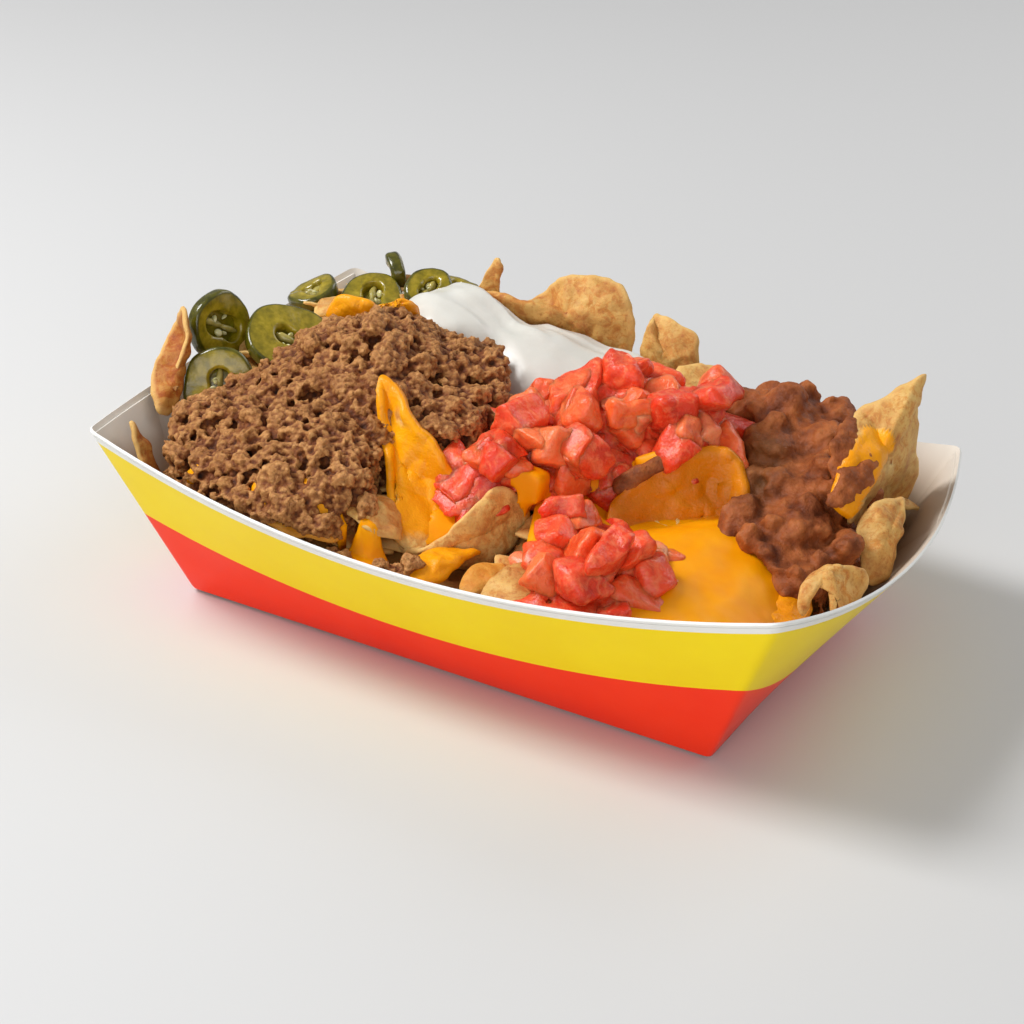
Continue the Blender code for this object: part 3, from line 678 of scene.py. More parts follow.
def beans_material():
    n = Nodes("beans_look")
    tone = n.ramp(n.noise(7, 4), (0.35, 120, 62, 28), (0.5, 162, 92, 44), (0.68, 188, 114, 60))
    # Painted shade: the creases between lumps are darkened where the relief share is low
    crease = n.ramp(n.attribute("relief"), (0.18, 84, 48, 32), (0.5, 226, 208, 196), (0.7, 1.0))
    body = n.mix(1.0, tone, crease, "MULTIPLY")
    n.color(n.mix(n.attribute("smear"), body, linear(104, 66, 32)))
    n.set(roughness=0.56, specular_ior_level=0.25)
    n.bump((n.noise(0.8, 4), 0.34), (n.noise(2.6, 3), 0.5))
    n.subsurface(0.1, 1.5, (1.0, 0.4, 0.25))
    return n.material


def cream_material():
    n = Nodes("cream_look")
    n.color(n.ramp(n.noise(12, 2), (0.3, 206, 204, 195), (0.7, 218, 216, 208)))
    n.set(roughness=0.34)
    n.bump((n.noise(2.5, 2), 0.08))
    n.subsurface(0.18, 2.0, (1.0, 0.9, 0.8))
    return n.material


def cheese_tone(n):
    """Colour of the cheese sauce, a little browner in the creases as painted shade."""
    tone = n.ramp(n.noise(14, 3), (0.3, 236, 146, 0), (0.7, 248, 168, 4))
    crease = n.ramp(n.attribute("relief"), (0.15, 205, 160, 110), (0.45, 1.0))
    return n.mix(1.0, tone, crease, "MULTIPLY")


def cheese_material():
    n = Nodes("cheese_look")
    n.color(cheese_tone(n))
    n.set(roughness=0.42, specular_ior_level=0.15)
    n.bump((n.noise(5, 2), 0.12), (n.noise(1.2, 2), 0.02))
    n.subsurface(0.2, 2.0, (1.0, 0.55, 0.12))
    return n.material


def chip_material():
    """Fried corn: golden with toasted freckles and patches, pale edges, painted shade in the creases and in
    the heap's dark core, a darkness for each chip that is partly toast and partly painted light and shade,
    and sauce where it is coated.
    """
    n = Nodes("chip_look")
    broad = n.ramp(n.noise(9, 3, 0.6), (0.35, 200, 146, 70), (0.55, 222, 178, 98), (0.7, 232, 196, 126))
    freckle = n.ramp(n.noise(1.2, 4, 0.7), (0.52, 1.0), (0.7, 222, 176, 116))
    toast = n.ramp(n.noise(4.0, 5, 0.72, 0.9), (0.46, 1.0), (0.58, 238, 192, 116), (0.74, 206, 136, 58))
    body = n.mix(1.0, n.mix(1.0, broad, freckle, "MULTIPLY"), toast, "MULTIPLY")
    pale = n.mix(0.22, body, linear(250, 214, 142))
    # Darkness of each chip by its tone share: toast at random in the heap, and for whole chips partly painted
    # shade and painted light
    toned = n.mix(n.attribute("tone"), pale, n.mix(1.0, body, linear(206, 168, 120), "MULTIPLY"))
    edged = n.mix(n.attribute("rim"), toned, linear(232, 192, 118))
    # Painted shade in the creases between blisters, where the relief share is low
    crease = n.ramp(n.attribute("relief"), (0.2, 196, 150, 100), (0.5, 1.0))
    shaded = n.mix(1.0, edged, crease, "MULTIPLY")
    # The heap's low core takes a dark toasted colour that is partly painted shade in the gaps between chips
    buried = n.mix(n.attribute("deep"), shaded, linear(170, 118, 58))
    n.color(n.mix(n.attribute("sauce"), buried, cheese_tone(n)))
    rough = n.ramp(n.attribute("sauce"), (0.4, 0.62), (0.6, 0.36))
    n.link(rough, n.shader.inputs["Roughness"])
    n.set(specular_ior_level=0.3)
    n.bump((n.noise(1.1, 4), 0.24), (n.noise(0.45, 2), 0.09))
    n.subsurface(0.1, 1.2, (1.0, 0.6, 0.25))
    return n.material


def tomato_material():
    n = Nodes("tomato_look")
    flesh = n.ramp(
        n.attribute("tint"),
        (0.0, 222, 56, 26),
        (0.45, 236, 80, 38),
        (0.75, 242, 104, 46),
        (0.93, 242, 118, 66),
        (1.0, 244, 140, 96),
    )
    pale = n.ramp(n.noise(3.6, 4, 0.6, 1.2), (0.46, 0.0), (0.74, 0.62))
    deep = n.ramp(n.noise(6, 3, 0.5, 0.6), (0.36, 226, 190, 180), (0.5, 1.0))
    n.color(n.mix(pale, n.mix(1.0, flesh, deep, "MULTIPLY"), linear(246, 148, 98)))
    n.set(roughness=0.34, specular_ior_level=0.4)
    n.bump((n.noise(0.8, 4), 0.26), (n.noise(3.0, 2), 0.5))
    n.subsurface(0.5, 3.0, (1.0, 0.32, 0.18))
    n.set(coat_weight=0.12, coat_roughness=0.2)
    return n.material


def pepper_material():
    """Pickled pepper: dark olive skin, olive flesh, pale ribs and cream seeds, by the piece's own shares."""
    n = Nodes("pepper_look")
    skin = n.ramp(n.noise(3, 4), (0.35, 58, 58, 6), (0.65, 90, 86, 12))
    flesh = n.ramp(n.noise(2.2, 4), (0.35, 122, 108, 12), (0.5, 146, 128, 20), (0.7, 172, 150, 40))
    pale = n.ramp(n.noise(1.5, 3), (0.3, 186, 182, 118), (0.7, 218, 212, 164))
    body = n.mix(n.attribute("flesh"), skin, flesh)
    n.color(n.mix(n.attribute("pale"), body, pale))
    n.set(roughness=0.22)
    n.bump((n.noise(1.2, 3), 0.12))
    n.subsurface(0.2, 2.0, (0.8, 1.0, 0.2))
    n.set(coat_weight=0.22, coat_roughness=0.12)
    return n.material


def board_material(name, tone, darker, roughness):
    """Coated paperboard: a print or the bare sheet, with faint fibres."""
    n = Nodes(name)
    n.color(n.ramp(n.noise(22, 3), (0.3, *darker), (0.7, *tone)))
    n.set(roughness=roughness, specular_ior_level=0.12)
    n.bump((n.noise(0.5, 3), 0.02), (n.noise(9, 2), 0.06))
    return n.material


def inside_material():
    """The bare sheet inside, darker and warmer low down: painted shade and the warm bounce of the food with a
    little grease stain, reaching higher toward the right end, which lies in shade.
    """
    n = Nodes("board_inside")
    place = n.tree.nodes.new("ShaderNodeSeparateXYZ")
    n.link(n.place, place.inputs[0])
    height = n.tree.nodes.new("ShaderNodeMath")
    height.operation = "MULTIPLY_ADD"
    n.link(place.outputs["X"], height.inputs[0])
    height.inputs[1].default_value = -0.07
    n.link(place.outputs["Z"], height.inputs[2])
    rise = n.tree.nodes.new("ShaderNodeMapRange")
    rise.inputs["From Min"].default_value = 0.018
    rise.inputs["From Max"].default_value = 0.042
    n.link(height.outputs[0], rise.inputs["Value"])
    clean = n.ramp(n.noise(22, 3), (0.3, 230, 225, 214), (0.7, 238, 234, 225))
    # Painted shade: the walls turn warm brown low down, higher toward the right end
    n.color(n.mix(rise.outputs["Result"], linear(172, 140, 104), clean))
    n.set(roughness=0.5, specular_ior_level=0.25)
    n.bump((n.noise(0.5, 3), 0.02), (n.noise(9, 2), 0.06))
    return n.material


BEEF = beef_material()
BEANS = beans_material()
CREAM = cream_material()
CHEESE = cheese_material()
CHIP = chip_material()
TOMATO = tomato_material()
PEPPER = pepper_material()
INSIDE = inside_material()
EDGE_WHITE = board_material("board_edge", (238, 238, 234), (230, 230, 226), 0.45)
# The groove's grey is painted shade, the shadow line under the rim's cut edge
GROOVE = board_material("board_groove_shade", (150, 146, 140), (130, 126, 120), 0.6)
YELLOW = board_material("board_yellow", (250, 222, 22), (246, 214, 18), 0.32)
RED = board_material("board_red", (255, 62, 30), (250, 54, 26), 0.32)


# The tray


def arch(t):
    """0 at both ends of a side and 1 in its middle."""
    return 4 * t * (1 - t)


class Side:
    """One wall of the tray, as lines from the base's straight edge to the rim's bowed one."""

    def __init__(self, base, rim, bow, dip, outward, is_end):
        self.base = base
        self.rim = rim
        self.bow = bow
        self.dip = dip
        self.outward = outward
        self.is_end = is_end

    def line(self, t):
        """Base point, rim point and the print's split below the rim, a share t along the side."""
        rim = self.rim[0].lerp(self.rim[1], t) + self.outward * self.bow * arch(t)
        rim.z -= self.dip * arch(t)
        split = PRINT_SPLIT + (END_PRINT_DIP * arch(t) if self.is_end else 0)
        return self.base[0].lerp(self.base[1], t), rim, split


def tray_sides():
    """The near side, the right end, the far side and the left end."""
    x, y = RIM_LENGTH / 2, RIM_WIDTH / 2
    rim = [Vector((*p, h)) for p, h in zip(((-x, -y), (x, -y), (x, y), (-x, y)), CORNER_HEIGHTS)]
    x, y = BASE_LENGTH / 2, BASE_WIDTH / 2
    base = [Vector((*p, 0)) for p in ((-x, -y), (x, -y), (x, y), (-x, y))]
    ways = (Vector((0, -1, 0)), Vector((1, 0, 0)), Vector((0, 1, 0)), Vector((-1, 0, 0)))
    sides = []
    for i, way in enumerate(ways):
        j = (i + 1) % 4
        bow, dip = (END_BOW, END_DIP) if i % 2 else (SIDE_BOW, SIDE_DIP)
        sides.append(Side((base[i], base[j]), (rim[i], rim[j]), bow, dip, way, i % 2 == 1))
    return sides


def blend(a, b, share):
    """Between two wall lines."""
    return a[0].lerp(b[0], share), a[1].lerp(b[1], share), a[2] + (b[2] - a[2]) * share


def wall_lines(sides):
    """Wall lines all round the tray, with each corner's crease a little rounded."""
    steps, corner_steps = 26, 4
    lines = []
    for i, side in enumerate(sides):
        share = CREASE_REACH / (side.base[1] - side.base[0]).length
        lines += [side.line(share + (1 - 2 * share) * k / steps) for k in range(steps + 1)]
        after = sides[(i + 1) % 4]
        start, corner = lines[-1], after.line(0.0)
        end = after.line(CREASE_REACH / (after.base[1] - after.base[0]).length)
        for k in range(1, corner_steps):
            t = k / corner_steps
            lines.append(blend(blend(start, corner, t), blend(corner, end, t), t))
    return lines


def outward_of(base, rim):
    """The way a wall faces at one of its lines."""
    way = (rim - base).normalized()
    side = Vector((rim.x - base.x, rim.y - base.y, 0)).normalized()
    return (side - way * side.dot(way)).normalized()


def add_flap(bm, side, from_end):
    """A corner web folded back and glued inside an end wall: a triangle of board at the corner."""
    rows = 8
    grid = []
    for i in range(rows + 1):
        share = i / rows
        row = []
        for k in range(rows + 1):
            down = FLAP_DROP + (1 - FLAP_DROP) * k / rows
            t = 0.004 + FLAP_REACH * share * (1 - down) ** 0.8
            base, rim, _ = side.line(1 - t if from_end else t)
            out = outward_of(base, rim)
            lift = FLAP_BOARD if i < rows else 0.02
            row.append(bm.verts.new(rim.lerp(base, down) - out * (BOARD + lift)))
        grid.append(row)
    lip = []
    for i in range(rows + 1):
        t = 0.004 + FLAP_REACH * i / rows * (1 - FLAP_DROP) ** 0.8
        base, rim, _ = side.line(1 - t if from_end else t)
        lip.append(bm.verts.new(rim.lerp(base, FLAP_DROP - 0.004) - outward_of(base, rim) * (BOARD + 0.02)))
    for i in range(rows):
        for k in range(rows):
            bm.faces.new((grid[i][k], grid[i + 1][k], grid[i + 1][k + 1], grid[i][k + 1]))
        bm.faces.new((lip[i], lip[i + 1], grid[i + 1][0], grid[i][0]))


def build_tray():
    """A folded tray of one board, printed in bands outside, with a ply line round its rim: a shallow groove
    whose grey is painted shade.
    """
    sides = tray_sides()
    lines = wall_lines(sides)
    n = len(lines)
    bm = bmesh.new()
    outer = []
    inner = []
    for base, rim, split in lines:
        along = rim - base
        length = along.length
        way = along / length
        out = outward_of(base, rim)
        groove = RIM_GROOVE + GROOVE_HEIGHT
        downs = [0.0, 0.15, RIM_GROOVE, RIM_GROOVE + 0.02, groove, groove + 0.02, STRIP]
        sunk = [0.15, 0.0, 0.0, GROOVE_DEPTH, GROOVE_DEPTH, 0.0, 0.0]
        downs += [(STRIP + split) / 2, split, (split + length) / 2]
        downs += [length - BASE_ROUND, length - BASE_ROUND / 3]
        sunk += [0.0, 0.0, 0.0, 0.0, BASE_ROUND * 0.12]
        column = [bm.verts.new(rim - way * down - out * deep) for down, deep in zip(downs, sunk)]
        column.append(bm.verts.new(base + Vector((-out.x, -out.y, 0)).normalized() * BASE_ROUND * 0.7))
        outer.append(column)
        inside_downs = [0.0, 4.0, 12.0, (12.0 + length) / 2, length - BOARD]
        inner.append([bm.verts.new(rim - way * down - out * BOARD) for down in inside_downs])
    # The groove band (material 2) is grey as painted shade
    bands = [1, 1, 1, 2, 1, 1, 3, 3, 4, 4, 4, 4]
    for i in range(n):
        j = (i + 1) % n
        for k, material in enumerate(bands):
            face = bm.faces.new((outer[i][k], outer[i][k + 1], outer[j][k + 1], outer[j][k]))
            face.material_index = material
        for k in range(len(inner[i]) - 1):
            bm.faces.new((inner[j][k], inner[j][k + 1], inner[i][k + 1], inner[i][k]))
        face = bm.faces.new((outer[j][0], inner[j][0], inner[i][0], outer[i][0]))
        face.material_index = 1
    face = bm.faces.new([column[-1] for column in outer])
    face.material_index = 1
    bm.faces.new([column[-1] for column in reversed(inner)])
    bmesh.ops.recalc_face_normals(bm, faces=bm.faces)
    for side in sides:
        if side.is_end:
            add_flap(bm, side, False)
            add_flap(bm, side, True)
    mesh = bpy.data.meshes.new("tray_look")
    bm.to_mesh(mesh)
    bm.free()
    finish_piece("paper_tray", mesh, [INSIDE, EDGE_WHITE, GROOVE, YELLOW, RED], ["tray"])
    mesh.set_sharp_from_angle(angle=math.radians(24))


def inside_tray(points, margin):
    """Whether all points lie clear of the walls by a margin."""
    share = np.clip(points[:, 2] / WALL_HEIGHT, 0, 1)
    x = BASE_LENGTH / 2 + (RIM_LENGTH - BASE_LENGTH) / 2 * share
    y = BASE_WIDTH / 2 + (RIM_WIDTH - BASE_WIDTH) / 2 * share
    along = np.clip(1 - (points[:, 0] / (RIM_LENGTH / 2)) ** 2, 0, 1)
    across = np.clip(1 - (points[:, 1] / (RIM_WIDTH / 2)) ** 2, 0, 1)
    x = x + END_BOW * share * across
    y = y + SIDE_BOW * share * along
    return bool(((np.abs(points[:, 0]) < x - margin) & (np.abs(points[:, 1]) < y - margin)).all())


# Beef, beans, cream and sauce


def crumbs_at(places, shapes, faces, rng, tree):
    """Loose crumbs round some places, each lying on what is below it."""
    parts = []
    for x, y, reach, count in places:
        for _ in range(count):
            a, r = rng.uniform(0, 2 * math.pi), reach * math.sqrt(rng.random())
            px, py = x + r * math.cos(a), y + r * math.sin(a) * 0.7
            z = ground(tree, px, py)
            if z is None:
                continue
            size = rng.uniform(0.9, 2.6)
            place = (np.array((px, py, z)), np.array((0.0, 0.0, 1.0)))
            parts += grains([place], size, 0.5, shapes, faces, rng)
    return parts


def out_of_pits(places):
    """Leaves out the places that lie in the crevices between clumps."""
    return [(p, n) for p, n in places if noise.noise(Vector(p) / 5.0) > -0.38]


def build_beef(tree):
    """Fried mince: clumps, crumbs and grains, welded into one rough skin."""
    rng = random.Random(3)
    shapes, faces = uneven_balls(24, 0.55, rng)
    clumps = grains(surface_points("beef", 6.4, rng, -0.3), 3.3, 0.0, shapes, faces, rng)
    crumbs = grains(out_of_pits(surface_points("beef", 3.1, rng, -0.3)), 1.9, 0.25, shapes, faces, rng, 0.4)
    fine = grains(out_of_pits(surface_points("beef", 1.9, rng, -0.3)), 1.0, 0.7, shapes, faces, rng, 0.4)
    loose = crumbs_at(BEEF_BITS, shapes, faces, rng, tree)
    mesh = voxel_skin(*joined([drawn_in("beef", 1.4), *clumps, *crumbs, *fine, *loose]), 0.58)
    points = points_of(mesh)
    rough = 0.3 * noise_at(points, 1.3, 2) + 0.32 * noise_at(points, 0.8, 5)
    push(mesh, 0.65 * (cells_at(points, 1.9) - 0.55) + rough)
    add_relief(mesh, 18, 1.5)
    finish_piece("beef_crumbs", mesh, [BEEF], ["beef"])


def build_beans():
    """Mashed beans with whole ones in them, and bits of them on the tall chip."""
    rng = random.Random(5)
    shapes, faces = uneven_balls(16, 0.3, rng, 3)
    lumps = grains(surface_points("beans", 10.0, rng, 0.0), 5.6, -0.4, shapes, faces, rng, 0.3, 0.75)
    small = grains(surface_points("beans", 7.5, rng, 0.0), 2.9, -0.15, shapes, faces, rng, 0.4, 0.8)
    parts = [drawn_in("beans", 0.8), *lumps, *small]
    chip_points, chip_faces, _ = chip_arrays("chip_tall")
    chip = BVHTree.FromPolygons(chip_points.tolist(), chip_faces.tolist())
    for x, y, z, r in BEAN_PATCHES:
        at, normal, _, _ = chip.find_nearest(Vector((x, y, z)))
        flat = rng.choice(shapes) * np.array((r, r, r * 0.45))
        parts.append((flat @ upright_to(normal).T + np.array(at), faces))
    mesh = voxel_skin(*joined(parts), 0.6)
    smooth_mesh(mesh, 5)
    points = points_of(mesh)
    streaks = noise_at(points * np.array((1.0, 0.45, 0.45)), 3.6, 3)
    push(mesh, 0.42 * noise_at(points, 1.7) + 0.6 * streaks + 0.25 * (cells_at(points, 3.0, 4) - 0.5))
    add_relief(mesh, 22, 2.0)
    smear = np.exp(-(((points[:, 0] - 53) / 8) ** 2) - ((points[:, 1] - 12) / 10) ** 2)
    add_shares(mesh, smear=np.clip(0.8 * smear + 0.4 * noise_at(points, 4) * smear, 0, 1))
    finish_piece("bean_mash", mesh, [BEANS], ["beans"])


def build_cream():
    """A spooned dollop with soft folds along it."""
    mesh = voxel_skin(*node_arrays("sour_cream"), 0.8)
    smooth_mesh(mesh, 24)
    points = points_of(mesh)
    wander = noise_at(points, 22, 2)
    across = points[:, 1] / 3.1 + points[:, 0] / 11 - points[:, 2] / 6 + 3.0 * wander
    folds = 1 - 1.6 * np.abs(np.sin(across / 2)) ** 0.8
    strength = np.clip(0.7 + noise_at(points, 16, 7), 0.15, 1.2)
    up = np.clip(normals_of(mesh)[:, 2] + 0.2, 0, 1)
    ridges = np.abs(np.sin(across * 1.3 + 1.5 * noise_at(points, 14, 4))) ** 0.7
    push(mesh, up * (1.25 * folds * strength + 1.2 * noise_at(points, 10, 1) - 0.75 * ridges * strength))
    smooth_mesh(mesh, 2)
    add_relief(mesh, 30, 2.0)
    finish_piece("cream_dollop", mesh, [CREAM], ["sour_cream"])


def build_sauce(node, name, dips=()):
    """Poured cheese sauce: smooth, with slow waves, and lower along lines (start, end, reach, depth)."""
    mesh = voxel_skin(*node_arrays(node), 0.7)
    smooth_mesh(mesh, 8)
    points = points_of(mesh)
    up = np.clip(normals_of(mesh)[:, 2] + 0.3, 0, 1)
    push(mesh, up * (0.7 * noise_at(points, 13) + 0.3 * noise_at(points, 5, 3)))
    for start, end, reach, depth in dips:
        points = points_of(mesh)
        share = np.clip(1 - near_line(points * np.array((1, 1, 0)), start, end) / reach, 0, 1)
        points[:, 2] -= depth * share**1.2 * (points[:, 2] > 38)
        set_points(mesh, points)
    add_relief(mesh, 20, 2.5)
    finish_piece(name, mesh, [CHEESE], [node])


def build_drips(tree):
    """Sauce that ran over chips and beef, in thin pools."""
    pools = [drape(tree, *pool, seed) for seed, pool in enumerate(CHEESE_POOLS)]
    mesh = mesh_of("drips", *joined(pools))
    add_shares(mesh, relief=0.5)
    finish_piece("cheese_drips", mesh, [CHEESE], [])


def build_smear():
    """A thin smear of bean on the rim of the coated chip, beside the tomato."""
    bulge, *outline = BEAN_SMEAR
    points, faces, _ = sheet(outline, bulge, SMEAR_THICKNESS, 40, 44, 8)
    mesh = mesh_of("smear", points, faces)
    add_shares(mesh, relief=1.0, smear=0.0)
    finish_piece("bean_smear", mesh, [BEANS], [])


# Chips


def near_line(points, a, b):
    """Distance of each point from the line between two points."""
    a, b = np.array(a, float), np.array(b, float)
    way = b - a
    t = np.clip((points - a) @ way / (way @ way), 0, 1)
    return np.linalg.norm(points - a - t[:, None] * way, axis=1)


def fold_sauce(points, normals):
    """The folded chip is coated on the inside of its tall wall, and its front stays plain."""
    facing = normals @ np.array((0.55, -0.47, 0.7)) + 0.15 * noise_at(points, 5, 2)
    front = points @ np.array((0.7, -0.7, 0.1)) + 0.8 * noise_at(points, 4, 5)
    return np.clip((facing - 0.15) * 5, 0, 1) * np.clip((25.4 - front) * 1.5, 0, 1)


def tall_sauce(points, normals):
    """A stripe of sauce over the tall chip's near face."""
    near = near_line(points, (80.5, 24.5, 57), (77, 5, 46)) + 1.2 * noise_at(points, 4, 2)
    return np.clip((5.2 - near) * 2.5, 0, 1) * np.clip(normals @ np.array((-0.1, -0.9, 0.5)) * 4 + 0.6, 0, 1)


def all_sauce(points, _):
    """Sauce all over, whichever way the chip faces."""
    return np.ones(len(points))


def bend_tall(points):
    """Creases the tall chip along a line down its face, so that its right part turns away."""
    past = (points - np.array((82, 35, 64))) @ np.array((0.91, 0.245, -0.327))
    back = np.clip(past, 0, None) * 0.95
    return points + back[:, None] * np.array((-0.38, 0.804, -0.456))


def chip_arrays(node):
    """Points, faces and rim shares of a chip, from its one or two sheets."""
    seed = list(CHIPS).index(node)
    parts = [
        sheet(outline, bulge, CHIP_THICKNESS, seed + 0.37 * i, 110, 20)
        for i, (bulge, *outline) in enumerate(CHIPS[node])
    ]
    points, faces = joined([part[:2] for part in parts])
    if node == "chip_tall":
        points = bend_tall(points)
    return points, faces, np.concatenate([part[2] for part in parts])


def build_chip(node, sauce_of=None):
    """A fried chip: wavy, blistered, with an uneven pale rim, and sauce where it is coated."""
    points, faces, rim = chip_arrays(node)
    mesh = mesh_of(node, points, faces)
    sauce = np.zeros(len(points))
    if sauce_of is not None:
        sauce = sauce_of(points, normals_of(mesh))
        push(mesh, 0.6 * sauce)
    add_shares(mesh, rim=rim, sauce=sauce, tone=CHIP_TONES.get(node, USUAL_TONE))
    if node == "dish":
        # Painted shade: a low relief share darkens the dish's whole coat, for the shade of its hollow
        add_shares(mesh, relief=0.27)
    else:
        add_relief(mesh, 8, 0.9)
    replaced = [node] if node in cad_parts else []
    finish_piece(node + "_fried", mesh, [CHIP], replaced)


def smooth_loop(outline, count):
    """Evenly numbered points on a closed curve through some points."""
    points = [Vector(p) for p in outline]
    n = len(points)
    loop = []
    for k in range(count):
        at = k * n / count
        i, t = int(at), at - int(at)
        p0, p1, p2, p3 = (points[(i + j - 1) % n] for j in range(4))
        curve = 2 * p1 + (p2 - p0) * t + (2 * p0 - 5 * p1 + 4 * p2 - p3) * t**2
        loop.append(0.5 * (curve + (3 * p1 - p0 - 3 * p2 + p3) * t**3))
    return np.array(loop)


def sheet(outline, bulge, thickness, seed, around=56, rings=9):
    """A chip from its outline: points, faces and how near each point is to the rim."""
    loop = smooth_loop(outline, around)
    centre = loop.mean(axis=0)
    share = np.repeat(np.arange(rings + 1) / rings, around)
    middle = centre + (np.tile(loop, (rings + 1, 1)) - centre) * share[:, None]
    middle += np.array(bulge) * (1 - share**2)[:, None]
    middle += 1.1 * shake_at(middle, 9, seed) + 0.55 * shake_at(middle, 3.2, seed + 1)
    mesh = mesh_of("sheet", middle, ring_faces(rings, around))
    normals = normals_of(mesh)
    bpy.data.meshes.remove(mesh)
    normals[:around] = normals[around : 2 * around].mean(axis=0)
    normals /= np.maximum(np.linalg.norm(normals, axis=1), 1e-6)[:, None]
    half = thickness / 2 * np.where(share < 1, 1.0, 0.5)
    open_face = np.clip((1 - share) * 6, 0, 1)
    blisters = [np.clip(noise_at(middle, 3.4, seed + k) - 0.12, 0, 1) * 1.1 for k in (2, 4)]
    upper = middle + normals * (half + blisters[0] * open_face)[:, None]
    lower = middle - normals * (half + blisters[1] * open_face)[:, None]
    rim = np.clip((share - 0.86) * 6, 0, 0.75)
    return *two_sided(upper, lower, rings, around), np.tile(rim, 2)


def loose_outline(size, rng):
    """Outline of a broken piece of a round chip, lying flat: three or four uneven corners."""
    corners = rng.randint(3, 4)
    middle = 0.64 if corners == 3 else 0.78
    start = rng.uniform(0, 6)
    outline = []
    for i in range(corners * 3):
        a = start + 2 * math.pi * i / (corners * 3)
        r = size * (1.0 if i % 3 == 0 else middle) * rng.uniform(0.88, 1.08)
        outline.append((r * math.cos(a), r * math.sin(a), 0.0))
    return outline


def build_bed(other_names):
    """The heap of chips under the toppings: a low core, the half hidden chips and broken ones over it all."""
    rng = random.Random(11)
    parts = []
    shares = []

    def add(points, faces, rim, sauce=0.0, deep=0.0):
        parts.append((points, faces))
        shares.append([np.broadcast_to(share, len(points)) for share in (rim, sauce, deep)])

    core = voxel_skin(*drawn_in("chip_bed", 2.4), 1.4)
    smooth_mesh(core, 4)
    push(core, 1.6 * (cells_at(points_of(core), 9.0) - 0.5))
    points, faces = arrays_of(core)
    bpy.data.meshes.remove(core)
    # The core is marked deep, so that the chip look gives it a dark colour that is partly painted shade in
    # the gaps
    add(points - BED_SHIFT, faces, 0.0, 0.0, 1.0)
    for seed, (sauce, bulge, *outline) in enumerate(BED_CHIPS):
        points, faces, rim = sheet(outline, bulge, BED_CHIP_THICKNESS, 20 + seed)
        add(points + BED_SHIFT, faces, rim, sauce)
    others = tree_of(other_names)
    for p, n in surface_points("chip_bed", 6.0, rng, -0.5):
        if p[2] < LOWEST_BROKEN or any(in_ellipse(p, *place) for place in CLEAR_OF_CHIPS):
            continue
        upright = upright_to(n)
        inwards = np.array((-p[0] / 90, -p[1] / 60, 0.35))
        for attempt in range(12):
            size = rng.uniform(8.0, 13.0) * (1 - 0.055 * attempt)
            bulge = (0, 0, rng.uniform(-2.5, 3.0) * size / 13)
            outline = loose_outline(size, rng)
            points, faces, rim = sheet(outline, bulge, BROKEN_THICKNESS, rng.uniform(0, 90), 30, 4)
            place = p + n * rng.uniform(-0.6, 1.8) + inwards * 0.7 * attempt
            points = points @ (upright @ turned(rng, 0.5)).T + place
            over = sum(others.ray_cast(Vector(q), DOWN, 30)[0] is not None for q in points[::9])
            low = points[:, 2].max() < p[2] + 5
            if over < 0.12 * len(points) / 9 and inside_tray(points, 1.3) and low:
                add(points, faces, rim)
                break
    points, faces = joined(parts)
    rim, sauce, deep = np.concatenate(shares, axis=1)
    mesh = mesh_of("chip_heap", points, faces)
    tone = np.clip(0.35 + 0.9 * noise_at(points, 16, 9), 0, 1)
    add_shares(mesh, rim=rim, sauce=sauce, deep=deep, relief=0.5, tone=tone)
    finish_piece("chip_heap", mesh, [CHIP], ["chip_bed"])
    return points, faces


# Dice of tomato


def die(size, rng):
    """A soft uneven block: rounded, tapered and dented, with a corner or two sliced off."""
    points, faces = CUBE
    half = np.array(size) / 2
    radius = half.min() * rng.uniform(0.4, 0.6)
    at = points * half
    inner = np.clip(at, -(half - radius), half - radius)
    out = at - inner
    out /= np.maximum(np.linalg.norm(out, axis=1), 1e-6)[:, None]
    shape = inner + out * radius
    taper = rng.uniform(-0.25, 0.25)
    shape[:, 0] *= 1 + taper * shape[:, 2] / half[2]
    shape[:, 1] += rng.uniform(-0.3, 0.3) * shape[:, 2]
    shape += 1.6 * shake_at(shape, 6.5, rng.uniform(0, 80))
    for _ in range(rng.randint(1, 3)):
        way = np.array(random_way(rng))
        past = np.clip(shape @ way - half.min() * rng.uniform(0.75, 1.0), 0, None)
        shape -= way * past[:, None] * 0.9
    shape += 0.38 * shake_at(shape, 2.1, rng.uniform(0, 80))
    return shape, faces


def subdivided_cube():
    bm = bmesh.new()
    bmesh.ops.create_cube(bm, size=2.0)
    bmesh.ops.subdivide_edges(bm, edges=bm.edges[:], cuts=7, use_grid_fill=True)
    bmesh.ops.triangulate(bm, faces=bm.faces)
    return taken_from(bm)


